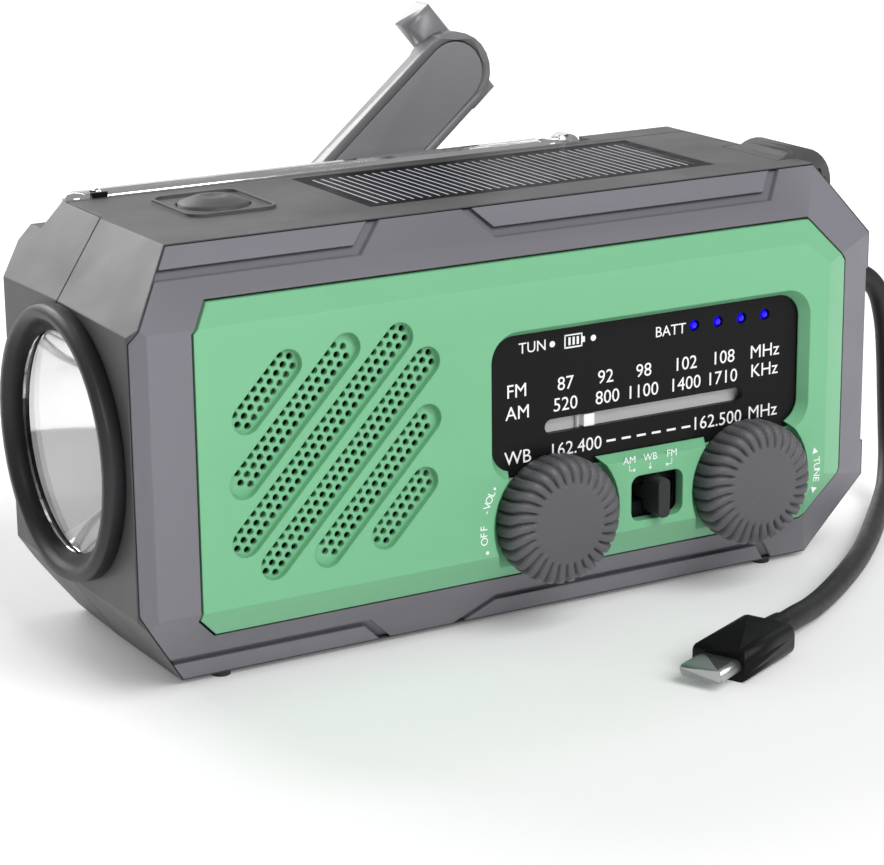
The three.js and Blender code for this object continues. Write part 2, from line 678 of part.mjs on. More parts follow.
function gripPocket(extra) {
  const depth = [POCKET_FLOOR - extra, BACK + 5];
  const barX = stowX + GRIP.offset;
  const half = GRIP.width / 2 + 1 + extra;
  const bar = block(
    [barX - half - 2, barX + half], depth,
    [CRANK_Z - GRIP.length / 2 - 1 - extra, CRANK_Z + GRIP.length / 2 + 1 + extra]);
  return bar.add(discY(GRIP.neck + 0.8 + extra, depth, stowX, CRANK_Z));
}

function doorOpening(grow) {
  const middle = cellsX();
  return block(
    [middle - DOOR.length / 2 - grow, middle + DOOR.length / 2 + grow],
    [DOOR.front - grow, DOOR.back + grow], [-5, WALL + 0.02]);
}

const cellsX = () => LEFT + 22.7 + CELL.length / 2;
const idlerX = () => CRANK_X + centreDistance(CRANK_GEAR, IDLER_PINION);
const dynamoX = () => idlerX() + centreDistance(IDLER_GEAR, DYNAMO_PINION);
const centreDistance = (a, b) => ((a.teeth + b.teeth) * a.module) / 2;

function rearShell() {
  const inFront = frontOfSplit(GAP);
  const shell = outer.subtract(cavity());
  const inner = BACK - WALL;
  const bosses = SCREW_PLACES.map(([x, z]) =>
    discY(BOSS, [SPLIT_MIDDLE + GAP, BACK - 1], x, z, 20).intersect(outer));
  const bearing = discY(HUB.shaft + 3.2, [inner - 4, inner + 0.5], CRANK_X, CRANK_Z);
  const idlerBoss = join(
    discY(IDLER_PIN + 2, [inner - 4, inner + 0.5], idlerX(), CRANK_Z, 20),
    discY(IDLER_PIN, [idlerGearY() - 0.8, inner], idlerX(), CRANK_Z, 16),
  );
  const pocketWall = gripPocket(1.6).intersect(outer);
  const channelWall = channel();
  const lining = block(
    [LEFT, ANTENNA_PIVOT_X + CHANNEL.end + WALL],
    [ANTENNA_Y - CHANNEL.front - WALL, BACK], [HEIGHT - CHANNEL.depth - WALL, HEIGHT],
  ).intersect(outer);
  const body = join(shell, ...bosses, bearing, idlerBoss, pocketWall, lining);
  const screwHoles = SCREW_PLACES.flatMap(([x, z]) => [
    discY(SCREW.shank + GAP, [SPLIT_END, BACK + 5], x, z, 16),
    discY(SCREW.head + GAP, [BACK - SCREW.seat - 0.4, BACK + 5], x, z, 20),
  ]);
  const tools = [
    channelWall,
    gripPocket(0),
    discY(HUB.shaft + RUNNING, [0, BACK + 5], CRANK_X, CRANK_Z, 24),
    doorOpening(GAP),
    clipSpace(),
    discY(PIVOT_PIN + RUNNING, [ANTENNA_Y - CHANNEL.front - 2, BACK], ANTENNA_PIVOT_X, antennaZ(), 16),
  ];
  const tidy = cut(body, inFront, ...screwHoles, ...tools, torchHole(), ...portHoles(), lugSpace());
  return cut(tidy, portRecess());
}

// ---- Antenna ----
const CLIP = { fromMouth: -2.7, width: 3, lip: 1, tab: 0.8, base: 2 };
const clipX = () => ANTENNA_PIVOT_X - ANTENNA_LENGTH + CLIP.fromMouth + CLIP.width / 2;

function clipSpace() {
  const half = CLIP.width / 2 + GAP;
  const bottom = HEIGHT - CHANNEL.depth - CLIP.base - GAP;
  const front = ANTENNA_Y - TUBES[0].outer - 0.4 - CLIP.tab - GAP;
  return block([clipX() - half, clipX() + half], [front, BACK + 5], [bottom, HEIGHT + 1]);
}

function antennaClip() {
  const half = CLIP.width / 2;
  const floor = HEIGHT - CHANNEL.depth - CLIP.base;
  const lipFront = ANTENNA_Y + TUBES[0].outer + 0.4;
  const x = [clipX() - half, clipX() + half];
  const tabBack = ANTENNA_Y - TUBES[0].outer - 0.4;
  const base = block(x, [tabBack - CLIP.tab, lipFront + CLIP.lip], [floor, floor + CLIP.base - 0.2]);
  const lip = block(x, [lipFront, lipFront + CLIP.lip], [floor, antennaZ() + 1.4]);
  const tab = block(x, [tabBack - CLIP.tab, tabBack], [floor, HEIGHT + 0.9]);
  return join(base, lip, tab);
}

function tube(section, length) {
  const { outer: r, inner: bore } = section;
  return turned([[0, 0], [r, 0], [r, length], [bore, length], [bore, 3], [0, 3]], 20).rotateY(-Math.PI / 2);
}

function antennaPieces() {
  const group = new THREE.Group();
  group.position.set(ANTENNA_PIVOT_X, ANTENNA_Y, antennaZ());
  const knuckle = discY(2.9, [-1.6, 1.6], 0, 0, 24);
  const stem = discX(TUBES[0].outer, [-6, 0], 0, 0, 20);
  const pin = discY(PIVOT_PIN, [-CHANNEL.front - 1.6, 2], 0, 0, 16);
  group.add(piece("antenna_knuckle", join(knuckle, stem, pin), chrome));
  const first = 6 + GAP;
  const names = ["antenna_tube_outer", "antenna_tube_middle", "antenna_tube_inner"];
  names.forEach((name, i) => {
    const start = first + i * 3.6;
    const end = ANTENNA_LENGTH + i * TUBE_STEP;
    const mesh = piece(name, tube(TUBES[i], end - start), chrome);
    mesh.position.x = -start;
    group.add(mesh);
  });
  const rodStart = first + TUBES.length * 3.6;
  const rodEnd = ANTENNA_LENGTH + TUBES.length * TUBE_STEP;
  const cap = ANTENNA_TIP;
  const rod = turned([
    [0, rodStart], [ROD, rodStart], [ROD, rodEnd], [cap.radius, rodEnd + 0.2],
    [cap.radius, rodEnd + cap.length - 1.6], [cap.radius * 0.8, rodEnd + cap.length - 0.5],
    [cap.radius * 0.4, rodEnd + cap.length], [0, rodEnd + cap.length],
  ], 20).rotateY(-Math.PI / 2);
  group.add(piece("antenna_rod", rod, chrome));
  return group;
}

// ---- Crank ----
const armFace = () => BACK + ARM.clear;
const foldY = () => armFace() + HUB.ear;

function crankHub() {
  const y = foldY();
  const half = HUB.ear;
  const discTop = armFace() - 0.4;
  const disc = discY(HUB.radius, [BACK + GAP, discTop], 0, 0, 40);
  const shaftEnd = BACK - WALL - 9.6;
  const shaft = discY(HUB.shaft, [shaftEnd, BACK + 1], 0, 0, 24);
  const lug = join(
    block([-half, half], [discTop - 0.5, y], [-HUB.lug / 2, HUB.lug / 2]),
    discZ(half, [-HUB.lug / 2, HUB.lug / 2], 0, y, 24),
  );
  return join(disc, shaft, lug).subtract(discZ(HUB.pin + RUNNING, [-10, 10], 0, y, 16));
}

function armOutline(amount, start) {
  const radius = ARM.width / 2 - amount;
  const shape = new THREE.Shape();
  shape.moveTo(start, -radius);
  shape.lineTo(ARM.length, -radius);
  shape.absarc(ARM.length, 0, radius, -Math.PI / 2, Math.PI / 2);
  shape.lineTo(start, radius);
  shape.closePath();
  return shape;
}

function crankArm() {
  const y = foldY();
  const half = HUB.ear;
  const face = armFace();
  const span = [face, face + ARM.thickness];
  const slot = block([-half - 1, half + 0.8], [0, 60], [-HUB.lug / 2 - GAP, HUB.lug / 2 + GAP]);
  const root = discZ(half, [-ARM.width / 2, ARM.width / 2], 0, y, 24);
  const recess = prismY(armOutline(ARM.border, 8), [face - 1, face + ARM.cover + GAP]);
  const pin = discZ(HUB.pin + RUNNING, [-12, 12], 0, y, 16);
  const axle = discY(GRIP_AXLE + RUNNING, [face - 1, span[1] + 1], ARM.length, 0, 20);
  const seat = discY(GRIP_AXLE + 1.4 + GAP, [face - 1, face + AXLE_HEAD.end + GAP], ARM.length, 0, 24);
  return cut(join(prismY(armOutline(0, 0), span), root), slot, recess, pin, axle, seat);
}

function armCover() {
  const face = armFace();
  return prismY(armOutline(ARM.border + GAP, 8 + GAP), [face, face + ARM.cover]);
}

function gripBar() {
  const near = armFace() + ARM.thickness + GAP;
  const barNear = near + GRIP.neckLength;
  const barFar = barNear + GRIP.depth;
  const shoulder = barNear + GRIP.depth * 0.68;
  const x = ARM.length + GRIP.offset;
  const [w, l, t] = [GRIP.width / 2, GRIP.length / 2, GRIP.taper];
  const rings = [
    [barNear, w - 0.7, l - 0.7],
    [barNear + 0.7, w, l],
    [shoulder, w, l],
    [barFar, w - 1.1, l - t],
  ];
  const corners = rings.flatMap(([y, halfX, halfZ]) =>
    [[1, 1], [1, -1], [-1, 1], [-1, -1]].map(([sx, sz]) =>
      new THREE.Vector3(x + sx * halfX, y, sz * halfZ)),
  );
  const neck = discY(GRIP.neck, [near, barNear + 1.6], ARM.length, 0, 32);
  const boss = discY(GRIP_AXLE + 1.6, [barNear, barFar - 1], ARM.length, 0, 24);
  const bore = discY(GRIP_AXLE + RUNNING, [near - 1, barFar - 2.2], ARM.length, 0, 20);
  return cut(join(solid(new ConvexGeometry(corners)), neck, boss), bore);
}

function gripAxle() {
  const face = armFace();
  const end = face + ARM.thickness + GAP + GRIP.neckLength + GRIP.depth - 2.6;
  const head = discY(GRIP_AXLE + 1.4, [face + AXLE_HEAD.start, face + AXLE_HEAD.end], ARM.length, 0, 24);
  return head.add(discY(GRIP_AXLE, [face + AXLE_HEAD.end - 0.2, end], ARM.length, 0, 20));
}

function gear({ teeth, module, width }, y0, phase) {
  const pitch = (teeth * module) / 2;
  const step = (2 * Math.PI) / teeth;
  const thick = 1 - BACKLASH;
  const profile = [[-0.36, -1.2], [-0.25, 0], [-0.1, 0.9], [0.1, 0.9], [0.25, 0], [0.36, -1.2]];
  const points = Array.from({ length: teeth }, (_, tooth) =>
    profile.map(([share, height]) => {
      const angle = phase + step * (tooth + share * thick);
      const radius = pitch + height * module;
      return [radius * Math.cos(angle), radius * Math.sin(angle)];
    })).flat();
  return prismY(points, [y0, y0 + width]);
}

const crankGearY = () => BACK - WALL - 4 - GAP - CRANK_GEAR.width - 0.6;
const idlerGearY = () => crankGearY() - 4.7;

function crankPieces() {
  const group = new THREE.Group();
  group.position.set(CRANK_X, 0, CRANK_Z);
  group.rotation.y = -THREE.MathUtils.degToRad(CRANK_ANGLE);
  group.add(piece("crank_hub", crankHub(), crankGrey));
  group.add(piece("crank_arm", crankArm(), crankGrey));
  group.add(piece("crank_arm_cover", armCover(), crankGrey));
  const pinHalf = ARM.width / 2 - 0.6;
  const pin = discZ(HUB.pin, [-pinHalf, pinHalf], 0, foldY(), 16);
  group.add(piece("crank_fold_pin", pin, steel));
  group.add(piece("crank_grip", gripBar(), crankGrey));
  group.add(piece("crank_grip_axle", gripAxle(), steel));
  return group;
}

function gearPieces() {
  const group = new THREE.Group();
  const y = crankGearY();
  const place = (mesh, x) => {
    mesh.position.set(x, 0, CRANK_Z);
    group.add(mesh);
  };
  const bore = discY(HUB.shaft + RUNNING, [0, 40], 0, 0, 24);
  place(piece("crank_gear", gear(CRANK_GEAR, y, 0).subtract(bore), gearWhite), CRANK_X);
  const pinionPhase = Math.PI + Math.PI / IDLER_PINION.teeth;
  const idlerPinion = gear(IDLER_PINION, y - 0.2, pinionPhase);
  const idlerWheel = gear(IDLER_GEAR, idlerGearY(), 0);
  const collar = discY(4, [idlerGearY() + 1, y + 1], 0, 0, 24);
  const idlerBore = discY(IDLER_PIN + RUNNING, [0, 40], 0, 0, 16);
  const idler = join(idlerPinion, idlerWheel, collar).subtract(idlerBore);
  place(piece("idler_gear", idler, gearWhite), idlerX());
  const dynamoPhase = Math.PI + Math.PI / DYNAMO_PINION.teeth;
  const canEnd = idlerGearY() - 1.3;
  const shaft = discY(1, [canEnd - 2, idlerGearY()], 0, 0, 12);
  const pinion = gear(DYNAMO_PINION, idlerGearY() - 0.4, dynamoPhase).add(shaft);
  place(piece("dynamo_pinion", pinion, steel), dynamoX());
  const bearing = discY(1 + RUNNING, [canEnd - 3, canEnd + 1], 0, 0, 12);
  const can = discY(DYNAMO.radius, [canEnd - DYNAMO.length, canEnd], 0, 0, 32);
  place(piece("dynamo", can.subtract(bearing), steel), dynamoX());
  return group;
}

// ---- Knobs, switch and dial ----
function knob() {
  const { radius, face, height, rim, ribs, rib } = KNOB;
  const base = FRONT + WELL.depth - GAP;
  const crest = Array.from({ length: ribs * 4 }, (_, i) => {
    const angle = (2 * Math.PI * i) / (ribs * 4);
    const wave = i % 4 === 0 ? rib : i % 4 === 2 ? 0 : rib * 0.35;
    return [(radius - wave) * Math.cos(angle), (radius - wave) * Math.sin(angle)];
  });
  const skirt = prismY(crest, [base - rim, base]);
  const cap = turnedFront([
    [0, rim - 0.5], [radius - rib - 0.3, rim - 0.5], [radius - rib - 0.3, rim],
    [radius - 1.6, height - 1], [face + 0.6, height - 0.1], [face, height - 0.25], [0, height],
  ]).translate(0, base, 0);
  const stemEnd = BOARD.y - GAP - POT.depth + 1.6;
  const stem = discY(SHAFT, [base - 1, stemEnd], 0, 0, 24);
  return join(skirt, solid(cap), stem);
}

function knobPieces() {
  const group = new THREE.Group();
  const back = BOARD.y - GAP;
  [["volume", VOLUME_X], ["tuning", TUNING_X]].forEach(([name, x]) => {
    const control = new THREE.Group();
    control.position.set(x, 0, KNOB_Z);
    control.add(piece(`${name}_knob`, knob(), knobGrey));
    const half = POT.size / 2;
    const housing = block([-half, half], [back - POT.depth, back], [-half, half]);
    const socket = discY(SHAFT + RUNNING, [back - POT.depth - 1, back - POT.depth + 2], 0, 0, 24);
    const label = name === "volume" ? "volume_pot" : "tuning_capacitor";
    control.add(piece(label, housing.subtract(socket), blackPlastic));
    group.add(control);
  });
  return group;
}

function switchPieces() {
  const group = new THREE.Group();
  group.position.set(SWITCH_X, 0, SWITCH_Z);
  const face = FRONT + SKIN + 0.9;
  const room = LEVER.width / 2 + SWITCH_TRAVEL + GAP;
  const body = block([-6, 6], [face, face + 7], [-5.6, 5.4]);
  const slot = block([-room, room], [face - 1, face + 4], [-1.7, 1.7]);
  group.add(piece("band_switch_body", body.subtract(slot), blackPlastic));
  const [w, h] = [LEVER.width / 2, LEVER.height / 2];
  const tab = prismY(roundedRectangle(0, 0, 2 * w, 2 * h, 1), [FRONT - LEVER.proud, face - GAP]);
  const foot = block([-w, w], [face - 0.5, face + 3.4], [-1.3, 1.3]);
  group.add(piece("band_switch_lever", tab.add(foot), torchBlack));
  return group;
}

const scaleX = () => [DIAL_X - SCALE.left + 1.8, DIAL_X + SCALE.right + 1.8];

function dialPieces() {
  const group = new THREE.Group();
  const plateY = FRONT + SKIN + GAP;
  const [left, right] = scaleX();
  const z = DIAL_Z - SCALE.below;
  const radius = SCALE.height / 2;
  const place = platePlace();
  const outline = roundedRectangle(DIAL_X, DIAL_Z, place.width, place.height, place.radius);
  const slotLength = right - left - SCALE.height;
  const slot = roundEndedBar((left + right) / 2, z, slotLength, radius, 0);
  const ledPlaces = Array.from({ length: LEDS.count }, (_, i) => DIAL_X + LEDS.first + i * LEDS.pitch);
  const ledZ = DIAL_Z + LEDS.up;
  const ledHoles = ledPlaces.map((x) => discY(LEDS.radius + GAP, DEPTHS, x, ledZ, 12));
  const plate = cut(prismY(outline, [plateY, plateY + 1.2]), prismY(slot, DEPTHS), ...ledHoles);
  group.add(piece("dial_plate", plate, blackPlastic));
  const guideY = plateY + 2.4;
  const backing = block([left - 3, right + 3], [guideY, guideY + 0.8], [z - 3.6, z + 3.6]);
  group.add(piece("dial_backing", backing, paleGrey));
  const half = POINTER.width / 2;
  const needle = block([-half, half], [plateY + 0.1, guideY - GAP], [-radius + 0.2, radius - 0.2]);
  const flange = block([-half - 0.6, half + 0.6], [plateY + 1.5, guideY - GAP], [-2.8, 2.8]);
  const pointer = piece("dial_pointer", needle.add(flange), white);
  pointer.position.set(left + POINTER.fromLeft, 0, z);
  group.add(pointer);
  const stripY = plateY + 4.2;
  const last = ledPlaces[LEDS.count - 1];
  const bar = block([ledPlaces[0] - 3, last + 3], [stripY, stripY + 1.2], [ledZ - 2, ledZ + 2]);
  const domes = ledPlaces.map((x) => solid(turnedFront([
    [0, -0.5], [LEDS.radius, -0.5], [LEDS.radius, 3.6], [LEDS.radius * 0.7, 4.1], [0, 4.2],
  ], 12).translate(x, stripY, ledZ)));
  group.add(piece("battery_lights", join(bar, ...domes), blueLens));
  return group;
}

function speakerPieces() {
  const group = new THREE.Group();
  group.position.set(SPEAKER_X + CONE.shift, FRONT + SKIN + GAP + CONE.depth, SPEAKER_Z);
  const r = CONE.radius;
  const d = CONE.depth;
  const basket = turnedFront([
    [0, 0], [10, 0], [10, 4], [r - 1.5, d - 2.5], [r, d - 2.5], [r, d], [r - 1.8, d], [r - 1.8, d - 1.6],
    [8, 5.6], [8, 4.6], [0, 4.6],
  ], 36);
  const cone = turnedFront([
    [0, 5.5], [3.8, 5.5], [r - 3, d - 1.2], [r - 2.1, d - 1], [r - 2.1, d - 0.6], [r - 3, d - 0.6],
    [3.4, 6.2], [0, 6.6],
  ], 36);
  group.add(piece("speaker_basket", basket, steel));
  group.add(piece("speaker_cone", cone, paper));
  return group;
}

function torchPieces() {
  const group = new THREE.Group();
  group.position.set(LEFT, TORCH_Y, TORCH_Z);
  const { bezel, mouth, opening, proud, lensAt, depth, hole, lens } = TORCH;
  const seat = opening + 0.9;
  const neck = bezel - 2.3 - GAP;
  const profile = [
    [seat, -6], [neck, -6], [neck, GAP], [bezel, GAP], [bezel, proud - 1],
    [bezel - 0.7, proud], [mouth, proud], [mouth - 0.3, proud - 0.3], [opening, lensAt + GAP],
    [seat, lensAt + GAP], [seat, -6],
  ];
  group.add(piece("torch_bezel", turnedLeft(profile, 48), torchBlack));
  const lensShape = turnedLeft([
    [0, lensAt - lens], [seat - GAP, lensAt - lens], [seat - GAP, lensAt], [0, lensAt],
  ], 40);
  group.add(piece("torch_lens", lensShape, clearPlastic));
  const bowl = seat - GAP;
  const steps = 7;
  const rimAt = lensAt - lens - 0.4;
  const curve = (radius) => -depth + (depth + rimAt) * ((radius - hole) / (bowl - 0.8 - hole)) ** 2;
  const inside = [];
  const outside = [];
  for (let i = 0; i <= steps; i += 1) {
    const radius = hole + ((bowl - 0.8 - hole) * i) / steps;
    inside.unshift([radius, curve(radius)]);
    outside.push([radius + 0.7, curve(radius) - (i === steps ? 0 : 0.6)]);
  }
  const reflector = turnedLeft([...outside, ...inside, outside[0]], 40);
  group.add(piece("torch_reflector", reflector, chrome));
  const led = turnedLeft([
    [0, -1.5], [8, -1.5], [8, 0], [2.4, 0], [2.4, 1.8], [1.7, 2.9], [0, 3.4],
  ], 24).translate(depth + 1, 0, 0);
  group.add(piece("torch_led", led, white));
  return group;
}

function deckPieces() {
  const group = new THREE.Group();
  const { radius, dome } = BUTTON;
  const under = HEIGHT - WALL - GAP;
  const cap = turned([
    [0, under - 1.2], [radius + 1.4, under - 1.2], [radius + 1.4, under], [radius, under],
    [radius, HEIGHT + dome * 0.16], [radius - 0.7, HEIGHT + dome * 0.38], [radius - 1.8, HEIGHT + dome * 0.66],
    [radius - 2.9, HEIGHT + dome * 0.9], [radius - 3.7, HEIGHT + dome], [radius - 4.3, HEIGHT + dome * 0.96],
    [radius - 5, HEIGHT + dome * 0.82], [0, HEIGHT + dome * 0.76],
  ], 36).translate(BUTTON_X, BUTTON_Y, 0);
  group.add(piece("light_button", cap, shellGrey));
  const floor = HEIGHT - SOLAR.depth + GAP;
  const solar = block(
    [LEFT + SOLAR.left + GAP, RIGHT - SOLAR.right - GAP],
    [FRONT + SOLAR.front + GAP, SPLIT_DECK - SOLAR.behind - GAP],
    [floor, floor + SOLAR.cell],
  );
  group.add(piece("solar_panel", solar, solarBlack));
  return group;
}

// ---- Inside ----
function insidePieces() {
  const group = new THREE.Group();
  const board = block(
    [LEFT + 62.7, RIGHT - (LENGTH / 2 - BOARD.right)], [BOARD.y, BOARD.y + BOARD.thickness],
    [BOARD.bottom, BOARD.top]);
  group.add(piece("main_board", board, boardGreen));
  const x = [cellsX() - CELL.length / 2, cellsX() + CELL.length / 2];
  const z = WALL + 1.3 + CELL.radius;
  [["front", -4.2], ["rear", 14.6]].forEach(([name, y]) => {
    group.add(piece(`battery_cell_${name}`, discX(CELL.radius, x, y, z, 24), cellBlue));
  });
  const tray = join(
    block([x[0] - 1.6, x[1] + 1.6], [-12, 23], [WALL + GAP, WALL + 1]),
    ...[[x[0] - 1.6, x[0] - GAP], [x[1] + GAP, x[1] + 1.6]].map((span) =>
      block(span, [-12, 23], [WALL + GAP, WALL + 14])),
  );
  group.add(piece("battery_tray", tray, blackPlastic));
  group.add(piece("battery_door", doorOpening(0).intersect(block([-99, 99], [0, 40], [0, WALL])), shellGrey));
  return group;
}

function fastenerPieces() {
  const group = new THREE.Group();
  const seat = BACK - SCREW.seat;
  SCREW_PLACES.forEach(([x, z], i) => {
    const head = discY(SCREW.head, [seat, seat + 1.8], 0, 0, 16);
    const drive = block([-1.6, 1.6], [seat + 0.9, seat + 3], [-0.35, 0.35]);
    const shank = discY(SCREW.shank, [seat - SCREW.length, seat + 0.2], 0, 0, 12);
    const mesh = piece(`case_screw_${i + 1}`, head.add(shank).subtract(drive), steel);
    mesh.position.set(x, 0, z);
    group.add(mesh);
  });
  const footPlaces = [LEFT + FOOT.endInset, RIGHT - FOOT.endInset].flatMap((x) => [
    [x, FOOT.front],
    [x, FOOT.back],
  ]);
  footPlaces.forEach(([x, y], i) => {
    const foot = discZ(FOOT.radius, [-FOOT_HEIGHT, -GAP / 3], x, y, 20);
    group.add(piece(`foot_${i + 1}`, foot, rubber));
  });
  const pad = roundedRectangle(0, 0, PAD.length, PAD.width, PAD.radius);
  group.add(piece("rest_pad", prismZ(pad, [-FOOT_HEIGHT, -GAP / 3]), rubber));
  group.add(piece("strap_lug", lugPiece(), shellGrey));
  group.add(piece("antenna_clip", antennaClip(), blackPlastic));
  return group;
}

// The strap lug is its own moulding, let into the top right corner.
function lugPiece() {
  const seat = block(
    [RIGHT - CORNERS.topRight.x - 4 + GAP, RIGHT + 5],
    [LUG.y - LUG.width / 2, LUG.y + LUG.width / 2],
    [HEIGHT - CORNERS.topRight.z - 1.5 + GAP, HEIGHT + 5],
  );
  const base = seat.intersect(outer.subtract(cavity()));
  return base.add(strapLug().intersect(seat)).subtract(cavity());
}

// ---- Ports and lead ----
function portPieces() {
  const group = new THREE.Group();
  const face = RIGHT - RECESS.depth;
  const { width, height, depth, wall } = USB_A;
  const aOutside = roundedRectangle(PORT_Y, USB_A_Z, width, height, 0.5);
  const aInside = roundedRectangle(PORT_Y, USB_A_Z, width - 2 * wall, height - 2 * wall, 0.3);
  const aShell = prismX(aOutside, [face - depth, face]).subtract(
    prismX(aInside, [face - depth + 1, face + 1]));
  group.add(piece("usb_out_socket", aShell, steel));
  const cOutside = roundedRectangle(PORT_Y, USB_C_Z, USB_C.width, USB_C.height, 1.6);
  const cInside = roundedRectangle(PORT_Y, USB_C_Z, USB_C.width - 0.7, USB_C.height - 0.7, 1.3);
  const cShell = prismX(cOutside, [face - USB_C.depth, face]).subtract(
    prismX(cInside, [face - USB_C.depth + 1, face + 1]));
  group.add(piece("usb_in_socket", cShell, steel));
  const tongue = roundedRectangle(PORT_Y, USB_A_Z, width - 2 * wall - 0.6, height - 2 * wall - 0.6, 0.3);
  const blade = prismX(tongue, [face - 11, face + 2]);
  const [bodyWidth, bodyHeight] = LEAD.body;
  const bodyShape = roundedRectangle(PORT_Y, USB_A_Z, bodyWidth, bodyHeight, 2);
  const bodyStart = face + 1;
  const body = prismX(bodyShape, [bodyStart, bodyStart + LEAD.bodyLength]);
  const reliefEnd = bodyStart + LEAD.bodyLength + RELIEF_LENGTH;
  const relief = turned([
    [0, 0], [3.3, 0], [LEAD.radius + 0.5, RELIEF_LENGTH], [0, RELIEF_LENGTH],
  ], 20).rotateY(Math.PI / 2).translate(bodyStart + LEAD.bodyLength - 0.2, PORT_Y, USB_A_Z);
  group.add(piece("lead_plug", join(body, blade, solid(relief)), blackPlastic));
  group.add(...leadPieces(reliefEnd));
  return group;
}

// Centre line of the lead from the plug's strain relief, down to the surface and along it.
function leadRoute(start) {
  const floor = LEAD.radius - FOOT_HEIGHT + 0.05;
  const plugFloor = LEAD.plugHalf - FOOT_HEIGHT + 0.05;
  return [
    [start, PORT_Y, USB_A_Z],
    [start + 1.2, PORT_Y, USB_A_Z],
    [start + 4, 11.9, USB_A_Z - 1],
    [start + 6.6, 11.4, USB_A_Z - 4],
    [start + 8, 10.6, 34.5],
    [start + 8.1, 9.6, 27.5],
    [start + 7.5, 8.2, 20.5],
    [start + 6.2, 6, 14],
    [start + 4.2, 3, 8],
    [start + 1, -0.6, 3.6],
    [start - 3.4, -4.8, floor + 0.5],
    [start - 8.2, -9.5, floor],
    [start - 14, -15.4, floor],
    [start - 20.5, -21.8, floor],
    [start - 28, -28.6, floor],
    [start - 36.2, -35.2, floor],
    [start - 45, -41.6, floor],
    [start - 53, -46.9, floor + 0.25],
    [start - 59.5, -50.6, plugFloor],
    [start - 64, -52.7, plugFloor],
  ].map((point) => new THREE.Vector3(...point));
}

function leadPieces(start) {
  const route = leadRoute(start);
  const curve = new THREE.CatmullRomCurve3(route, false, "centripetal");
  const section = new THREE.Shape();
  const sides = 10;
  for (let i = 0; i < sides; i += 1) {
    const angle = (2 * Math.PI * i) / sides;
    const [u, v] = [LEAD.radius * Math.cos(angle), LEAD.radius * Math.sin(angle)];
    if (i === 0) section.moveTo(u, v);
    else section.lineTo(u, v);
  }
  section.closePath();
  const lead = new THREE.ExtrudeGeometry(section, { steps: 40, bevelEnabled: false, extrudePath: curve });
  const end = route[route.length - 1];
  const heading = curve.getTangent(1).setZ(0).normalize();
  const far = new THREE.Group();
  far.position.copy(end).addScaledVector(heading, GAP);
  far.rotation.z = Math.atan2(heading.y, heading.x);
  const sleeve = turned([[0, 0], [2.5, 0], [2.7, 6], [0, 6]], 20).rotateY(Math.PI / 2);
  const shell = prismX(roundedRectangle(0, 0, 11, 2 * LEAD.plugHalf, 2), [5, 21]);
  far.add(piece("lead_connector", shell.add(solid(sleeve)), blackPlastic));
  const tip = prismX(roundedRectangle(0, 0, 8.3, 2.4, 1.15), [21 + GAP, 27.5]);
  far.add(piece("lead_connector_tip", tip, steel));
  return [piece("lead_cable", lead, blackPlastic), far];
}

// ---- Assembly ----
const radio = new THREE.Group();
radio.position.z = FOOT_HEIGHT;
radio.add(
  piece("front_shell", frontShell(), shellGrey),
  piece("rear_shell", rearShell(), shellGrey),
  piece("front_frame", frontFrame(), frameGrey),
  piece("front_panel", frontPanel(), faciaGreen),
  knobPieces(),
  switchPieces(),
  dialPieces(),
  speakerPieces(),
  torchPieces(),
  deckPieces(),
  antennaPieces(),
  crankPieces(),
  gearPieces(),
  insidePieces(),
  fastenerPieces(),
  portPieces(),
);

const model = new THREE.Group();
model.add(radio);
export default model;
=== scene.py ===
"""Looks for the hand-crank emergency radio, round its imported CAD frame. Metres, in the CAD's frame."""

import json
import math

import bmesh
import bpy
from mathutils import Matrix, Vector


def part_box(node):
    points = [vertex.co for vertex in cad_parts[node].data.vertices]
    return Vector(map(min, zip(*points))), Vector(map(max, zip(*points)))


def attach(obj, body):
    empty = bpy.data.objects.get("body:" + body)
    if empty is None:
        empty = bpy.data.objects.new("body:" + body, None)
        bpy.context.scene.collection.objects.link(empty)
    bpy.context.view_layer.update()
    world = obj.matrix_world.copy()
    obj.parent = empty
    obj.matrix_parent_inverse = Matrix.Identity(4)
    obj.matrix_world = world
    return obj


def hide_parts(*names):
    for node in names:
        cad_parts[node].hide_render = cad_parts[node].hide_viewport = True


MM = 0.001
FLOOR_TO_CASE = 1.0  # height of the feet under the housing, mm

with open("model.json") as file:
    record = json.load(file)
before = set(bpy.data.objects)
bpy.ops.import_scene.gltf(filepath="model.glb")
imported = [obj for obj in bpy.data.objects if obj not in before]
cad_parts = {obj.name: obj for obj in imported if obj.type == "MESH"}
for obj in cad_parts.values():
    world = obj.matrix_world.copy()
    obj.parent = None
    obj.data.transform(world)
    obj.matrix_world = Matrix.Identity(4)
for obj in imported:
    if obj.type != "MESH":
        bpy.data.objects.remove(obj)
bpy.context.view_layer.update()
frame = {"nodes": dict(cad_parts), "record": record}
nodes = frame["nodes"]


def mm(*values):
    """A point given in mm from the housing's underside, as metres in the frame."""
    x, y, z = values
    return Vector((x, y, z + FLOOR_TO_CASE)) * MM


# ---------------------------------------------------------------- materials


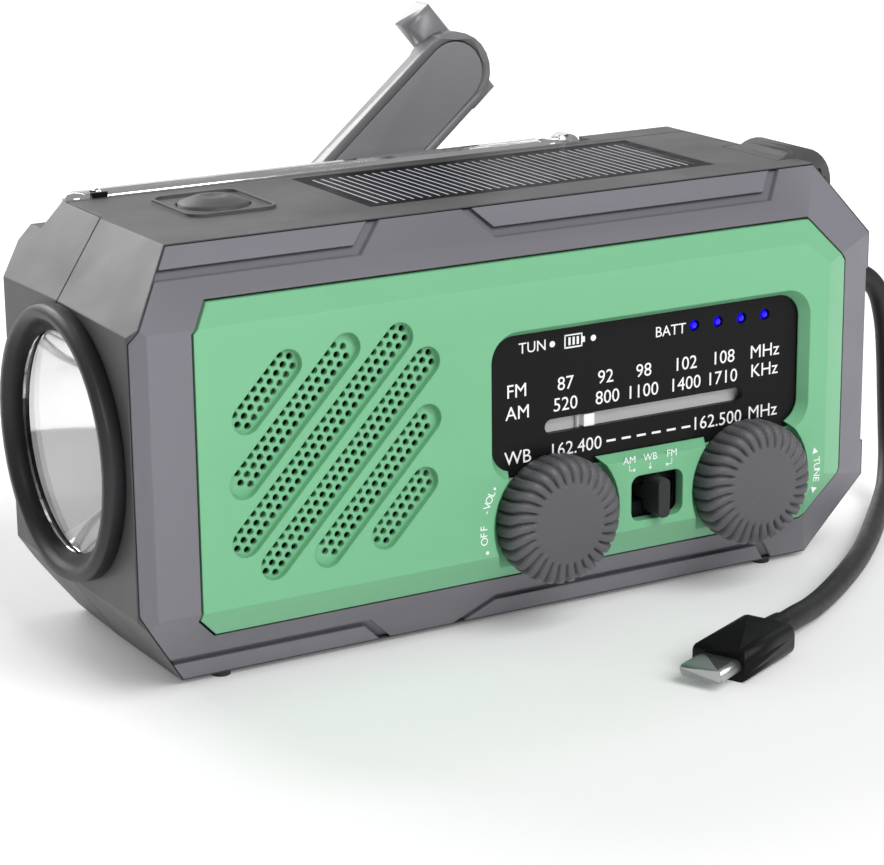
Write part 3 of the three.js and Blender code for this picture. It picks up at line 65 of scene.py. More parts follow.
class Nodes:
    """A material's node tree, built up a line at a time."""

    def __init__(self, name):
        self.material = bpy.data.materials.new(name)
        self.material.use_nodes = True
        self.tree = self.material.node_tree
        self.shader = self.tree.nodes["Principled BSDF"]
        self.coords = self.tree.nodes.new("ShaderNodeTexCoord")

    def add(self, kind, inputs=None, **settings):
        node = self.tree.nodes.new(kind)
        for key, value in settings.items():
            setattr(node, key, value)
        for key, value in (inputs or {}).items():
            self.put(node.inputs[key], value)
        return node

    def put(self, socket, value):
        if isinstance(value, bpy.types.NodeSocket):
            self.tree.links.new(value, socket)
        else:
            socket.default_value = value

    def set(self, **inputs):
        for key, value in inputs.items():
            self.put(self.shader.inputs[key.replace("_", " ")], value)

    def noise(self, scale, detail=3.0, roughness=0.5, stretch=None):
        vector = self.coords.outputs["Object"]
        if stretch:
            mapping = self.add("ShaderNodeMapping", {"Vector": vector, "Scale": stretch})
            vector = mapping.outputs["Vector"]
        inputs = {"Vector": vector, "Scale": scale, "Detail": detail, "Roughness": roughness}
        return self.add("ShaderNodeTexNoise", inputs).outputs["Fac"]

    def ramp(self, value, low, high, to_low, to_high):
        inputs = {
            "Value": value,
            "From Min": low,
            "From Max": high,
            "To Min": to_low,
            "To Max": to_high,
        }
        return self.add("ShaderNodeMapRange", inputs).outputs["Result"]

    def mix(self, factor, first, second):
        node = self.add("ShaderNodeMix", data_type="RGBA")
        self.put(node.inputs["Factor"], factor)
        self.put(node.inputs["A"], first)
        self.put(node.inputs["B"], second)
        return node.outputs["Result"]

    def math(self, operation, first, second):
        node = self.add("ShaderNodeMath", operation=operation)
        self.put(node.inputs[0], first)
        self.put(node.inputs[1], second)
        return node.outputs["Value"]

    def bump(self, height, strength, distance, rounding=None):
        inputs = {"Height": height, "Strength": strength, "Distance": distance}
        if rounding:
            inputs["Normal"] = self.add("ShaderNodeBevel", {"Radius": rounding}, samples=6).outputs["Normal"]
        return self.add("ShaderNodeBump", inputs).outputs["Normal"]


def srgb(r, g, b):
    """A colour given in 0-255 sRGB, as linear RGBA."""
    channels = [c / 255 for c in (r, g, b)]
    linear = [c / 12.92 if c <= 0.04045 else ((c + 0.055) / 1.055) ** 2.4 for c in channels]
    return (*linear, 1.0)


def edge_highlight_and_groove_shade(n, colour, highlight_colour, amount=0.55):
    """Paints a highlight along the shape's outer edges and paints shade into its grooves."""
    pointed = n.add("ShaderNodeNewGeometry").outputs["Pointiness"]
    # painted highlight: a paler colour on the sharp outer edges
    edge = n.ramp(pointed, 0.52, 0.62, 0.0, amount)
    # painted shade: near-black mixed into grooves and creases
    groove = n.ramp(pointed, 0.36, 0.48, 0.85, 0.0)
    return n.mix(groove, n.mix(edge, colour, highlight_colour), (0.006, 0.006, 0.006, 1.0))


def moulded(name, colour, roughness=0.5, grain=1400.0, depth=0.00004, vary=0.04, rounding=0.0004):
    """Moulded plastic: a fine spark-eroded grain, faint cloudiness, a painted highlight along its edges and
    painted shade in its grooves.
    """
    n = Nodes(name)
    cloud = n.noise(22.0, 4.0)
    dark = tuple(c * (1 - vary) for c in colour[:3]) + (1.0,)
    light = tuple(min(c * (1 + vary), 1.0) for c in colour[:3]) + (1.0,)
    base = n.mix(n.ramp(cloud, 0.35, 0.65, 0.0, 1.0), dark, light)
    # colour of the painted highlight along the edges
    highlight_colour = tuple(min(c * 1.35 + 0.01, 1.0) for c in colour[:3]) + (1.0,)
    fine = n.noise(grain, 2.0, 0.6)
    shine = n.ramp(n.noise(70.0, 5.0), 0.3, 0.7, roughness - 0.05, roughness + 0.06)
    n.set(Base_Color=edge_highlight_and_groove_shade(n, base, highlight_colour), Roughness=shine, Specular_IOR_Level=0.3)
    n.set(Normal=n.bump(fine, 0.35, depth, rounding))
    return n.material


def satin_green():
    """The facia's green plastic, smoother than the shell, with a faint flow across it."""
    n = Nodes("facia_green")
    colour = srgb(116, 184, 139)
    flow = n.noise(9.0, 5.0, 0.55, (1.0, 1.0, 3.0))
    base = n.mix(n.ramp(flow, 0.35, 0.65, 0.0, 1.0), srgb(113, 181, 136), srgb(120, 188, 143))
    fine = n.noise(1100.0, 2.0, 0.6)
    shine = n.ramp(n.noise(60.0, 4.0), 0.3, 0.7, 0.4, 0.5)
    # painted highlight along the edges and painted shade in the grooves
    n.set(Base_Color=edge_highlight_and_groove_shade(n, base, tuple(c * 1.1 for c in colour[:3]) + (1.0,), 0.4))
    n.set(Roughness=shine, Normal=n.bump(fine, 0.25, 0.00003, 0.0003))
    return n.material


def gloss(name, colour, roughness=0.22):
    """Polished plastic with faint hairline handling marks."""
    n = Nodes(name)
    marks = n.noise(900.0, 2.0, 0.5, (1.0, 1.0, 14.0))
    smear = n.noise(35.0, 4.0)
    shine = n.ramp(smear, 0.3, 0.7, roughness - 0.05, roughness + 0.07)
    n.set(Base_Color=colour, Roughness=shine, Normal=n.bump(marks, 0.12, 0.00002, 0.00025))
    n.set(Specular_IOR_Level=0.12)
    return n.material


def crank_plastic():
    """The crank's harder, shinier grey plastic, with a painted highlight along its edges and painted shade
    in its grooves.
    """
    n = Nodes("crank_grey")
    cloud = n.ramp(n.noise(30.0, 4.0), 0.35, 0.65, 0.0, 1.0)
    base = n.mix(cloud, srgb(114, 114, 116), srgb(124, 124, 126))
    fine = n.noise(900.0, 2.0, 0.6)
    shine = n.ramp(n.noise(80.0, 4.0), 0.3, 0.7, 0.26, 0.38)
    # srgb(142, 142, 145) is the colour of the painted edge highlight
    n.set(Base_Color=edge_highlight_and_groove_shade(n, base, srgb(142, 142, 145)), Roughness=shine)
    n.set(Normal=n.bump(fine, 0.2, 0.00003, 0.0004))
    return n.material


def metal(name, colour, roughness, stretch=None, scratch=0.1):
    """Metal with fine marks along one direction and slight tarnish."""
    n = Nodes(name)
    tarnish = n.ramp(n.noise(45.0, 5.0), 0.35, 0.7, 0.0, 1.0)
    dull = tuple(c * 0.86 for c in colour[:3]) + (1.0,)
    marks = n.noise(600.0, 3.0, 0.6, stretch or (1.0, 1.0, 1.0))
    shine = n.ramp(marks, 0.3, 0.7, max(roughness - 0.04, 0.02), roughness + 0.06)
    n.set(Base_Color=n.mix(tarnish, colour, dull), Metallic=1.0, Roughness=shine)
    n.set(Normal=n.bump(marks, scratch, 0.00002))
    return n.material


def clear_plastic():
    """The torch's clear lens, with faint moulding ripple and fingerprints."""
    n = Nodes("clear_lens")
    ripple = n.noise(120.0, 2.0)
    print_marks = n.ramp(n.noise(60.0, 5.0), 0.5, 0.8, 0.0, 0.04)
    n.set(Base_Color=(1.0, 1.0, 1.0, 1.0), Roughness=print_marks, IOR=1.3)
    n.set(Transmission_Weight=1.0, Normal=n.bump(ripple, 0.05, 0.00003))
    return n.material


def solar_material():
    """Amorphous solar cell: near-black strips between pale collector lines, in a dark border."""
    n = Nodes("solar_cell")
    low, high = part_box("solar_panel")
    place = n.add("ShaderNodeSeparateXYZ", {"Vector": n.coords.outputs["Object"]})
    across = n.math("SUBTRACT", place.outputs["X"], low.x)
    pitch = 1.75 * MM
    cycle = n.math("FRACT", n.math("DIVIDE", across, pitch), 0.0)
    line = n.ramp(n.math("ABSOLUTE", n.math("SUBTRACT", cycle, 0.5), 0.0), 0.09, 0.13, 1.0, 0.0)
    margin = 2.4 * MM
    inside = 1.0
    for axis, near, far in (("X", low.x, high.x), ("Y", low.y, high.y)):
        value = place.outputs[axis]
        after = n.math("GREATER_THAN", value, near + margin)
        before = n.math("LESS_THAN", value, far - margin)
        inside = n.math("MULTIPLY", n.math("MULTIPLY", after, before), inside)
    lines = n.math("MULTIPLY", line, inside)
    glimmer = n.ramp(n.noise(140.0, 4.0), 0.35, 0.65, 0.0, 1.0)
    cell = n.mix(glimmer, (0.006, 0.007, 0.012, 1.0), (0.011, 0.010, 0.016, 1.0))
    border = n.mix(inside, (0.004, 0.004, 0.005, 1.0), cell)
    n.set(Base_Color=n.mix(lines, border, (0.5, 0.51, 0.53, 1.0)))
    n.set(Roughness=n.ramp(n.noise(300.0, 3.0), 0.3, 0.7, 0.3, 0.42), Specular_IOR_Level=0.1, IOR=1.2)
    return n.material


def board_material():
    """Green solder mask with faint tracks under it."""
    n = Nodes("board_green")
    cells = n.add(
        "ShaderNodeTexVoronoi",
        {"Vector": n.coords.outputs["Object"], "Scale": 420.0},
        feature="F1",
        distance="CHEBYCHEV",
    )
    tracks = n.ramp(cells.outputs["Distance"], 0.42, 0.46, 0.0, 1.0)
    n.set(Base_Color=n.mix(tracks, (0.010, 0.085, 0.03, 1.0), (0.02, 0.14, 0.05, 1.0)), Roughness=0.35)
    n.set(Normal=n.bump(tracks, 0.3, 0.00003))
    return n.material


def rubber_material(name, colour, roughness=0.7):
    """Matt rubber or soft plastic with a fine tooth and patches of dust."""
    n = Nodes(name)
    fine = n.noise(800.0, 4.0, 0.65)
    dust = n.ramp(n.noise(90.0, 5.0), 0.5, 0.8, 0.0, 0.35)
    pale = tuple(c * 2.2 + 0.01 for c in colour[:3]) + (1.0,)
    shine = n.ramp(fine, 0.3, 0.7, roughness - 0.06, roughness + 0.08)
    n.set(Base_Color=n.mix(dust, colour, pale), Roughness=shine)
    n.set(Normal=n.bump(fine, 0.4, 0.00004))
    return n.material


def cone_material():
    """Pressed black paper with radial fibre."""
    n = Nodes("cone_paper")
    fibre = n.noise(500.0, 5.0, 0.7, (1.0, 0.3, 1.0))
    n.set(Base_Color=n.mix(fibre, (0.006, 0.006, 0.006, 1.0), (0.03, 0.028, 0.026, 1.0)), Roughness=0.92)
    n.set(Normal=n.bump(fibre, 0.6, 0.00008))
    return n.material


def cell_material():
    """Shrink-wrapped cell: blue film drawn over the can, with fine wrinkles."""
    n = Nodes("cell_wrap")
    wrinkle = n.noise(130.0, 4.0, 0.6, (0.25, 1.0, 1.0))
    n.set(Base_Color=n.mix(wrinkle, (0.02, 0.09, 0.30, 1.0), (0.04, 0.14, 0.40, 1.0)), Roughness=0.28)
    n.set(Normal=n.bump(wrinkle, 0.25, 0.0001), Coat_Weight=0.3)
    return n.material


def lamp_material():
    """Blue light under a clear dome, glowing a little."""
    n = Nodes("blue_lens")
    depth = n.ramp(n.noise(900.0, 2.0), 0.3, 0.7, 0.9, 1.1)
    n.set(Base_Color=(0.005, 0.0, 0.6, 1.0), Roughness=0.3, Emission_Color=(0.007, 0.0, 1.0, 1.0))
    n.set(Emission_Strength=depth)
    return n.material


def print_material(name, colour, roughness=0.45):
    """Printed ink, a little broken up where the ink is thin."""
    n = Nodes(name)
    thin = n.ramp(n.noise(2500.0, 2.0), 0.3, 0.7, 0.0, 1.0)
    pale = tuple(min(c * 1.08 + 0.01, 1.0) for c in colour[:3]) + (1.0,)
    n.set(Base_Color=n.mix(thin, colour, pale), Roughness=roughness)
    return n.material


MATERIALS = {
    "shell_grey": moulded("shell_grey", srgb(77, 77, 78), 0.46),
    "frame_grey": moulded("frame_grey", srgb(113, 111, 118), 0.48),
    "facia_green": satin_green(),
    "knob_grey": moulded("knob_grey", srgb(92, 91, 95), 0.42, 1200.0),
    "torch_black": moulded("torch_black", srgb(42, 42, 44), 0.42),
    "black_plastic": gloss("black_plastic", (0.008, 0.008, 0.008, 1.0), 0.3),
    "pale_plastic": moulded("pale_plastic", srgb(228, 228, 228), 0.45),
    "pointer_white": moulded("pointer_white", srgb(240, 240, 240), 0.4),
    "blue_lens": lamp_material(),
    "chrome": metal("chrome", (0.9, 0.9, 0.91, 1.0), 0.06, (0.2, 8.0, 8.0), 0.03),
    "steel": metal("steel", (0.52, 0.53, 0.54, 1.0), 0.35, (0.2, 6.0, 6.0), 0.2),
    "crank_grey": crank_plastic(),
    "clear_lens": clear_plastic(),
    "solar_cell": solar_material(),
    "board_green": board_material(),
    "gear_white": moulded("gear_white", srgb(222, 219, 208), 0.42),
    "rubber": rubber_material("rubber", (0.018, 0.018, 0.019, 1.0)),
    "cell_wrap": cell_material(),
    "cone_paper": cone_material(),
    "lead_black": rubber_material("lead_black", (0.012, 0.012, 0.013, 1.0), 0.48),
    "white_print": print_material("white_print", srgb(244, 244, 244)),
}

SLOTS = {part["node"]: part["material_slot"] for part in frame["record"]["subparts"]}

for name, node in nodes.items():
    node.data.materials.clear()
    node.data.materials.append(MATERIALS[SLOTS[name]])
    for polygon in node.data.polygons:
        polygon.use_smooth = False


# ---------------------------------------------------------------- stage


def stage():
    """Pale floor with a curved back, glowing faintly."""
    size = 6.0
    bm = bmesh.new()
    rows = [(-size, 0.0), (2.2, 0.0)]
    steps = 16
    for i in range(1, steps + 1):
        angle = math.pi / 2 * i / steps
        rows.append((2.2 + 1.2 * math.sin(angle), 1.2 - 1.2 * math.cos(angle)))
    rows.append((3.4, 5.0))
    made = [[bm.verts.new((x, y, z)) for x in (-size, size)] for y, z in rows]
    for (a, b), (c, d) in zip(made, made[1:]):
        bm.faces.new((a, b, d, c))
    mesh = bpy.data.meshes.new("studio_floor")
    bm.to_mesh(mesh)
    bm.free()
    for polygon in mesh.polygons:
        polygon.use_smooth = True
    floor = bpy.data.objects.new("studio_floor", mesh)
    bpy.context.scene.collection.objects.link(floor)
    n = Nodes("studio_white")
    n.set(Base_Color=(0.92, 0.92, 0.92, 1.0), Roughness=0.9)
    n.set(Emission_Color=(1.0, 1.0, 1.0, 1.0), Emission_Strength=0.1)
    mesh.materials.append(n.material)


def area_light(name, place, target, size, power, colour=(1.0, 1.0, 1.0)):
    data = bpy.data.lights.new(name, "AREA")
    data.shape = "RECTANGLE"
    data.size, data.size_y = size
    data.energy = power
    data.color = colour
    light = bpy.data.objects.new(name, data)
    light.location = place
    direction = Vector(target) - Vector(place)
    light.rotation_euler = direction.to_track_quat("-Z", "Y").to_euler()
    bpy.context.scene.collection.objects.link(light)


def lights():
    world = bpy.data.worlds.new("studio")
    world.use_nodes = True
    world.node_tree.nodes["Background"].inputs["Color"].default_value = (1.0, 1.0, 1.0, 1.0)
    world.node_tree.nodes["Background"].inputs["Strength"].default_value = 0.34
    bpy.context.scene.world = world
    middle = (-0.02, 0.0, 0.04)
    area_light("key", (0.15, -1.05, 0.98), middle, (0.9, 0.9), 15.0)
    area_light("back", (-0.3, 1.1, 0.7), middle, (0.9, 0.5), 10.0)
    area_light("backdrop", (0.7, 0.9, 1.6), (1.1, 2.6, 0.2), (2.0, 1.0), 40.0)


def camera():
    """Stands at the photograph's viewpoint, a 112 mm lens on a 36 mm sensor."""
    azimuth, elevation, roll = -0.519, 0.282, -0.011
    back = Vector(
        (
            math.sin(azimuth) * math.cos(elevation),
            -math.cos(azimuth) * math.cos(elevation),
            math.sin(elevation),
        )
    )
    right = Vector((0, 0, 1)).cross(back).normalized()
    up = back.cross(right)
    turned_right = math.cos(roll) * right + math.sin(roll) * up
    turned_up = math.cos(roll) * up - math.sin(roll) * right
    data = bpy.data.cameras.new("camera")
    data.lens = 112.06
    data.sensor_width = 36.0
    data.clip_start = 0.01
    data.clip_end = 20.0
    view = bpy.data.objects.new("camera", data)
    axes = Matrix((turned_right, turned_up, back)).transposed().to_4x4()
    view.matrix_world = Matrix.Translation(Vector((-241.70, -416.28, 169.79)) * MM) @ axes
    bpy.context.scene.collection.objects.link(view)
    bpy.context.scene.camera = view


# ---------------------------------------------------------------- pieces

KNOB_Z = 20.8
KNOBS = {"volume": 2.0, "tuning": 43.3}
KNOB_RIBS = 30
SPEAKER = (-40.9, 39.7)
SLOT_ANGLE = math.radians(46.5)
SLOT_PITCH = 6.95
SLOT_LENGTHS = (11.0, 27.8, 42.0)
HOLE_RADIUS = 0.6
HOLE_PITCH = 1.75
HOLE_ROWS = 1.6  # between the three rows of a slot
HOLE_SIDES = 12
PLATE_PRINT_Y = -27.53  # just proud of the dial plate
FACIA_PRINT_Y = -30.02  # just proud of the facia
PRINT_THICKNESS = 0.03
LETTERS_ROUND_KNOB = 14.9
MARKS_ROUND_KNOB = 14.8
RIB_COLUMNS = 12
RIB_SWEEP = 0.4  # how far a rib leans each way, in ribs
GROOVE_WIDTH = 0.12  # in ribs
RIBBED_ROWS = 11  # rows of the profile that the lean is spread over
STEM_RADIUS = 2.9
CABLE_RADIUS = 2.1
CABLE_START = 97.8
CABLE_SIDES = 20


def new_object(name, mesh, slot, smooth=True, body="housing"):
    """A mesh object in a material slot's finish, moving with a CAD body."""
    obj = bpy.data.objects.new(name, mesh)
    bpy.context.scene.collection.objects.link(obj)
    mesh.materials.clear()
    mesh.materials.append(MATERIALS[slot])
    for polygon in mesh.polygons:
        polygon.use_smooth = smooth
    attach(obj, body)
    return obj


def mesh_of(name, vertices, faces):
    mesh = bpy.data.meshes.new(name)
    mesh.from_pydata([tuple(v) for v in vertices], [], faces)
    mesh.update()
    return mesh


def lofted(rings):
    """Vertices and faces of a closed skin through rings of equal length, with its ends capped."""
    count = len(rings[0])
    vertices = [point for ring in rings for point in ring]
    faces = []
    for row in range(len(rings) - 1):
        for i in range(count):
            a = row * count + i
            b = row * count + (i + 1) % count
            faces.append((a, b, b + count, a + count))
    for row, order in ((0, -1), (len(rings) - 1, 1)):
        start = row * count
        middle = sum((Vector(p) for p in rings[row]), Vector()) / count
        vertices.append(tuple(middle))
        hub = len(vertices) - 1
        for i in range(count):
            pair = (start + i, start + (i + 1) % count)[::order]
            faces.append((*pair, hub))
    return vertices, faces


def circle(x, y, z, radius, sides, turned=0.0):
    """Corners of a ring round the Y direction."""
    angles = [turned + 2 * math.pi * i / sides for i in range(sides)]
    return [mm(x + radius * math.cos(a), y, z + radius * math.sin(a)) for a in angles]


KNOB_PROFILE = (  # radius, Y, depth of the grooves there, mm, from the base to the cap
    (11.1, -27.8, 0.0),
    (11.3, -28.0, 0.8),
    (11.4, -29.4, 0.95),
    (11.4, -30.8, 1.1),
    (11.35, -31.9, 1.15),
    (11.1, -32.7, 1.2),
    (10.6, -33.35, 1.2),
    (9.9, -33.8, 1.15),
    (9.1, -34.05, 1.05),
    (8.3, -34.15, 0.95),
    (7.7, -34.2, 0.85),
    (7.3, -34.23, 0.5),
    (7.0, -34.25, 0.0),
    (6.1, -34.33, 0.0),
    (5.2, -34.4, 0.0),
    (2.6, -34.48, 0.0),
    (0.6, -34.5, 0.0),
)


def knob_mesh(name, x):
    """A knob with S-shaped ribs from its cap over the shoulder and down the side."""
    count = KNOB_RIBS * RIB_COLUMNS
    rings = []
    for row, (radius, y, depth) in enumerate(KNOB_PROFILE):
        sweep = RIB_SWEEP * math.sin(math.pi * (row / RIBBED_ROWS - 0.5))
        before = Vector(KNOB_PROFILE[max(row - 1, 0)][:2])
        after = Vector(KNOB_PROFILE[min(row + 1, len(KNOB_PROFILE) - 1)][:2])
        along = (after - before).normalized()
        inward = Vector((along.y, -along.x))
        ring = []
        for i in range(count):
            phase = (i / RIB_COLUMNS + sweep) % 1.0
            groove = math.exp(-(((phase - 0.5) / GROOVE_WIDTH) ** 2))
            r = radius + inward.x * depth * groove
            angle = 2 * math.pi * i / count
            place = (x + r * math.cos(angle), y + inward.y * depth * groove, KNOB_Z + r * math.sin(angle))
            ring.append(mm(*place))
        rings.append(ring)
    vertices, faces = lofted(rings)
    stem = []
    for y in (-28.0, -22.3):
        stem.append(circle(x, y, KNOB_Z, STEM_RADIUS, 24))
    stem_vertices, stem_faces = lofted(stem)
    shift = len(vertices)
    faces += [tuple(i + shift for i in face) for face in stem_faces]
    return mesh_of(name, vertices + stem_vertices, faces)


def outward(mesh):
    """Turns every face of a closed mesh outwards."""
    bm = bmesh.new()
    bm.from_mesh(mesh)
    bmesh.ops.recalc_face_normals(bm, faces=bm.faces)
    bm.to_mesh(mesh)
    bm.free()
    return mesh


def knobs():
    for name, x in KNOBS.items():
        mesh = outward(knob_mesh(f"{name}_knob_ribbed", x))
        obj = new_object(f"{name}_knob_ribbed", mesh, "knob_grey", body=f"{name}_dial")
        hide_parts(f"{name}_knob")


def slot_holes():
    """Centres of the round holes in the speaker's slots: three staggered rows in each."""
    centres = []
    half_count = len(SLOT_LENGTHS)
    along = Vector((math.cos(SLOT_ANGLE), math.sin(SLOT_ANGLE)))
    across = Vector((-math.sin(SLOT_ANGLE), math.cos(SLOT_ANGLE)))
    pitch = HOLE_PITCH
    for i in range(2 * half_count):
        length = SLOT_LENGTHS[i if i < half_count else 2 * half_count - 1 - i]
        middle = Vector(SPEAKER) + across * (i - half_count + 0.5) * SLOT_PITCH
        for row in (-1, 0, 1):
            reach = length / 2 + (1.75 if row == 0 else 0.9)
            steps = int(reach / pitch)
            offsets = [step * pitch for step in range(-steps, steps + 1)]
            if row:
                offsets = [step * pitch - pitch / 2 for step in range(-steps, steps + 2)]
                offsets = [offset for offset in offsets if abs(offset) <= reach]
            centres += [middle + along * offset + across * row * HOLE_ROWS for offset in offsets]
    return centres


BODIES = {
    name: body for body, names in frame["record"]["behaviour"]["bodies"].items() for name in names
}
ROUND_NODES = (
    "torch_bezel",
    "torch_reflector",
    "torch_lens",
    "torch_led",
    "light_button",
    "antenna_knuckle",
    "antenna_tube_outer",
    "antenna_tube_middle",
    "antenna_tube_inner",
    "antenna_rod",
    "crank_hub",
    "crank_arm",
    "crank_grip",
    "strap_lug",
    "speaker_cone",
    "lead_plug",
    "lead_connector",
    "lead_connector_tip",
)


def welded(node):
    """A CAD node's mesh in the frame, its faces sharing their corners."""
    mesh = node.data.copy()
    mesh.transform(node.matrix_world)
    bm = bmesh.new()
    bm.from_mesh(mesh)
    bmesh.ops.remove_doubles(bm, verts=bm.verts, dist=1e-6)
    bm.to_mesh(mesh)
    bm.free()
    return mesh


def round_pieces():
    """The turned and curved pieces again, with their facets shaded smooth between crisp edges."""
    for name in ROUND_NODES:
        mesh = welded(nodes[name])
        obj = new_object(f"{name}_smooth", mesh, SLOTS[name], body=BODIES[name])
        mesh.set_sharp_from_angle(angle=math.radians(32))
        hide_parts(name)


def cut_with(node, cutter):
    """A copy of a CAD node's mesh with the cutter taken out of it."""
    obj = bpy.data.objects.new("cut_copy", welded(node))
    bpy.context.scene.collection.objects.link(obj)
    modifier = obj.modifiers.new("cut", "BOOLEAN")
    modifier.operation = "DIFFERENCE"
    modifier.solver = "MANIFOLD"
    modifier.object = cutter
    bpy.context.view_layer.update()
    ready = obj.evaluated_get(bpy.context.evaluated_depsgraph_get())
    mesh = bpy.data.meshes.new_from_object(ready)
    bpy.data.objects.remove(obj)
    bpy.data.objects.remove(cutter)
    return mesh


def speaker_panel():
    """The green facia with its round speaker holes in the slots."""
    vertices, faces = [], []
    for centre in slot_holes():
        rings = [circle(centre.x, y, centre.y, HOLE_RADIUS, HOLE_SIDES) for y in (-29.2, -27.0)]
        shift = len(vertices)
        hole_vertices, hole_faces = lofted(rings)
        vertices += hole_vertices
        faces += [tuple(i + shift for i in face) for face in hole_faces]
    cutter = bpy.data.objects.new("hole_cutter", outward(mesh_of("hole_cutter", vertices, faces)))
    bpy.context.scene.collection.objects.link(cutter)
    mesh = cut_with(nodes["front_panel"], cutter)
    obj = new_object("speaker_panel", mesh, "facia_green", smooth=False)
    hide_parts("front_panel")


def lettering(words, x, y, z, height, spin=0.0):
    """A mesh of generic dial lettering, facing the front and centred on its place."""
    curve = bpy.data.curves.new("lettering", "FONT")
    curve.body = words
    curve.size = height / 0.7 * MM
    curve.extrude = 0.015 * MM
    curve.align_x = "CENTER"
    curve.align_y = "CENTER"
    curve.resolution_u = 3
    obj = bpy.data.objects.new("lettering", curve)
    bpy.context.scene.collection.objects.link(obj)
    obj.matrix_world = (
        Matrix.Translation(mm(x, y, z))
        @ Matrix.Rotation(math.pi / 2, 4, "X")
        @ Matrix.Rotation(spin, 4, "Z")
    )
    bpy.context.view_layer.update()
    mesh = bpy.data.meshes.new_from_object(obj.evaluated_get(bpy.context.evaluated_depsgraph_get()))
    mesh.transform(obj.matrix_world)
    bpy.data.objects.remove(obj)
    return mesh


def bar(x, y, z, width, height):
    """A flat printed mark."""
    thick = PRINT_THICKNESS
    corners = [(sx, sy, sz) for sx in (-1, 1) for sy in (-1, 1) for sz in (-1, 1)]
    vertices = [mm(x + sx * width / 2, y + sy * thick / 2, z + sz * height / 2) for sx, sy, sz in corners]
    faces = [(0, 1, 3, 2), (4, 6, 7, 5), (0, 4, 5, 1), (2, 3, 7, 6), (0, 2, 6, 4), (1, 5, 7, 3)]
    return mesh_of("bar", vertices, faces)


def dot(x, y, z, radius, sides=20, turned=0.0):
    """A small printed disc or, with few sides, a triangle."""
    faces = (y - PRINT_THICKNESS / 2, y + PRINT_THICKNESS / 2)
    rings = [circle(x, depth, z, radius, sides, turned) for depth in faces]
    return outward(mesh_of("dot", *lofted(rings)))


def joined(name, meshes, slot):
    """One object from several meshes."""
    bm = bmesh.new()
    for mesh in meshes:
        bm.from_mesh(mesh)
        bpy.data.meshes.remove(mesh)
    mesh = bpy.data.meshes.new(name)
    bm.to_mesh(mesh)
    bm.free()
    return new_object(name, mesh, slot, smooth=False)


def dial_prints():
    """Generic scale figures printed on the dial plate."""
    y = PLATE_PRINT_Y
    marks = []
    words = [
        ("TUN", -1.6, 51.5, 1.9),
        ("BATT", 27.0, 50.6, 1.9),
        ("FM", -4.8, 44.1, 2.4),
        ("AM", -4.6, 40.2, 2.4),
        ("WB", -4.6, 32.2, 2.4),
        ("162.400", 7.2, 32.3, 2.4),
        ("162.500", 37.3, 32.6, 2.4),
        ("MHz", 47.6, 44.1, 2.4),
        ("KHz", 47.6, 40.6, 2.4),
        ("MHz", 47.4, 32.8, 2.4),
    ]
    for word, x in zip(("87", "92", "98", "102", "108"), (5.1, 13.4, 21.4, 30.3, 38.5)):
        words.append((word, x, 44.1, 2.4))
    for word, x in zip(("520", "800", "1100", "1400", "1710"), (5.1, 13.8, 21.2, 30.3, 38.3)):
        words.append((word, x, 40.4, 2.4))
    marks += [lettering(word, x, y, z, height) for word, x, z, height in words]
    marks += [dot(x, y, 51.5, 0.55) for x in (2.4, 10.8)]
    marks += [bar(14.6 + 3.2 * i, y, 32.4, 1.9, 0.4) for i in range(6)]
    marks += [bar(6.7, y, 52.65, 3.7, 0.26), bar(6.7, y, 50.45, 3.7, 0.26)]
    marks += [bar(4.98, y, 51.55, 0.26, 2.2), bar(8.42, y, 51.55, 0.26, 2.2), bar(8.8, y, 51.55, 0.5, 1.0)]
    marks += [bar(5.9 + 0.85 * i, y, 51.55, 0.45, 1.4) for i in range(3)]
    joined("dial_print", marks, "white_print")


def around(words, x, radius, start, step, height, y):
    """Lettering set letter by letter along an arc round a knob."""
    marks = []
    for i, letter in enumerate(words):
        if letter == " ":
            continue
        angle = start + step * i
        place = (x + radius * math.cos(angle), KNOB_Z + radius * math.sin(angle))
        turn = angle - math.pi / 2 if step < 0 else angle + math.pi / 2
        marks.append(lettering(letter, place[0], y, place[1], height, spin=turn))
    return marks


def panel_prints():
    """Generic control markings printed on the facia."""
    y = FACIA_PRINT_Y
    marks = [
        lettering(word, x, y, 28.9, 1.3) for word, x in zip(("AM", "WB", "FM"), (16.9, 21.3, 25.9))
    ]
    marks += [dot(x, y, 27.0, 0.28) for x in (17.9, 21.3, 24.9)]
    marks += [bar(16.9, y, 27.5, 0.12, 1.1), bar(17.4, y, 27.0, 1.0, 0.12)]
    marks += [bar(25.9, y, 27.5, 0.12, 1.1), bar(25.4, y, 27.0, 1.0, 0.12), bar(21.3, y, 27.5, 0.12, 0.9)]
    left = KNOBS["volume"]
    marks += around("OFF", left, LETTERS_ROUND_KNOB, math.radians(186.5), math.radians(-4.5), 1.4, y)
    marks += around("-VOL", left, LETTERS_ROUND_KNOB, math.radians(166.5), math.radians(-4.3), 1.4, y)
    right = KNOBS["tuning"]
    marks += around("TUNE", right, LETTERS_ROUND_KNOB, math.radians(6.5), math.radians(-4.7), 1.4, y)
    for x, degrees, radius, sides, turned in (
        (left, 195.0, 0.32, 20, 0.0),
        (left, 149.6, 0.25, 20, 0.0),
        (right, 13.5, 0.75, 3, 103.5),
        (right, -15.0, 0.75, 3, -105.0),
    ):
        a = math.radians(degrees)
        reach = MARKS_ROUND_KNOB
        place = (x + reach * math.cos(a), y, KNOB_Z + reach * math.sin(a))
        marks.append(dot(*place, radius, sides, math.radians(turned)))
    joined("panel_print", marks, "white_print")


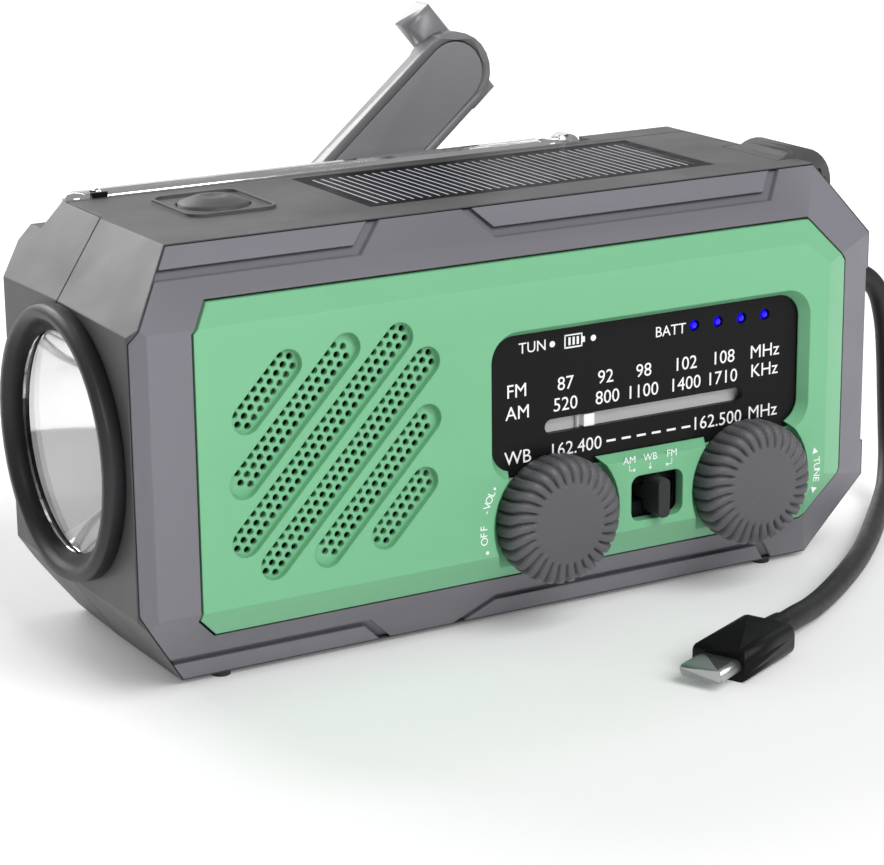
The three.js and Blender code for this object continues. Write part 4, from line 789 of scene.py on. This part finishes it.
def lead_route():
    """The lead's line: out of the plug, down in a soft loop, then along the floor to the connector."""
    s = CABLE_START
    floor = CABLE_RADIUS - FLOOR_TO_CASE + 0.05
    connector = 2.9 - FLOOR_TO_CASE + 0.05
    return [
        mm(s, 12, 44.5),
        mm(s + 1.2, 12, 44.5),
        mm(s + 4, 11.9, 43.5),
        mm(s + 6.6, 11.4, 40.5),
        mm(s + 8, 10.6, 34.5),
        mm(s + 8.1, 9.6, 27.5),
        mm(s + 7.5, 8.2, 20.5),
        mm(s + 6.2, 6, 14),
        mm(s + 4.2, 3, 8),
        mm(s + 1, -0.6, 3.6),
        mm(s - 3.4, -4.8, floor + 0.5),
        mm(s - 8.2, -9.5, floor),
        mm(s - 14, -15.4, floor),
        mm(s - 20.5, -21.8, floor),
        mm(s - 28, -28.6, floor),
        mm(s - 36.2, -35.2, floor),
        mm(s - 45, -41.6, floor),
        mm(s - 53, -46.9, floor + 0.25),
        mm(s - 59.5, -50.6, connector),
        mm(s - 64, -52.7, connector),
    ]


def through(points, steps=8):
    """Points along a centripetal Catmull-Rom curve through the given ones."""
    ends = [points[0] * 2 - points[1], *points, points[-1] * 2 - points[-2]]
    line = []
    for a, b, c, d in zip(ends, ends[1:], ends[2:], ends[3:]):
        t = [0.0]
        for p, q in ((a, b), (b, c), (c, d)):
            t.append(t[-1] + (q - p).length ** 0.5)
        for i in range(steps):
            u = t[1] + (t[2] - t[1]) * i / steps
            ab = a * (t[1] - u) / (t[1] - t[0]) + b * (u - t[0]) / (t[1] - t[0])
            bc = b * (t[2] - u) / (t[2] - t[1]) + c * (u - t[1]) / (t[2] - t[1])
            cd = c * (t[3] - u) / (t[3] - t[2]) + d * (u - t[2]) / (t[3] - t[2])
            left = ab * (t[2] - u) / (t[2] - t[0]) + bc * (u - t[0]) / (t[2] - t[0])
            right = bc * (t[3] - u) / (t[3] - t[1]) + cd * (u - t[1]) / (t[3] - t[1])
            line.append(left * (t[2] - u) / (t[2] - t[1]) + right * (u - t[1]) / (t[2] - t[1]))
    line.append(points[-1])
    return line


def lead():
    """The charging lead's round cable, laid as the CAD has it."""
    line = through(lead_route())
    rings = []
    normal = Vector((0, 1, 0))
    for i, point in enumerate(line):
        along = (line[min(i + 1, len(line) - 1)] - line[max(i - 1, 0)]).normalized()
        normal = (normal - along * normal.dot(along)).normalized()
        side = along.cross(normal)
        turn = [2 * math.pi * j / CABLE_SIDES for j in range(CABLE_SIDES)]
        radius = CABLE_RADIUS * MM
        rings.append([point + radius * (math.cos(a) * normal + math.sin(a) * side) for a in turn])
    obj = new_object("lead_round_cable", outward(mesh_of("lead_round_cable", *lofted(rings))), "lead_black")
    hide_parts("lead_cable")


round_pieces()
knobs()
speaker_panel()
dial_prints()
panel_prints()
lead()

# ---------------------------------------------------------------- finish

stage()
lights()
camera()
bpy.context.scene.view_settings.view_transform = "Standard"
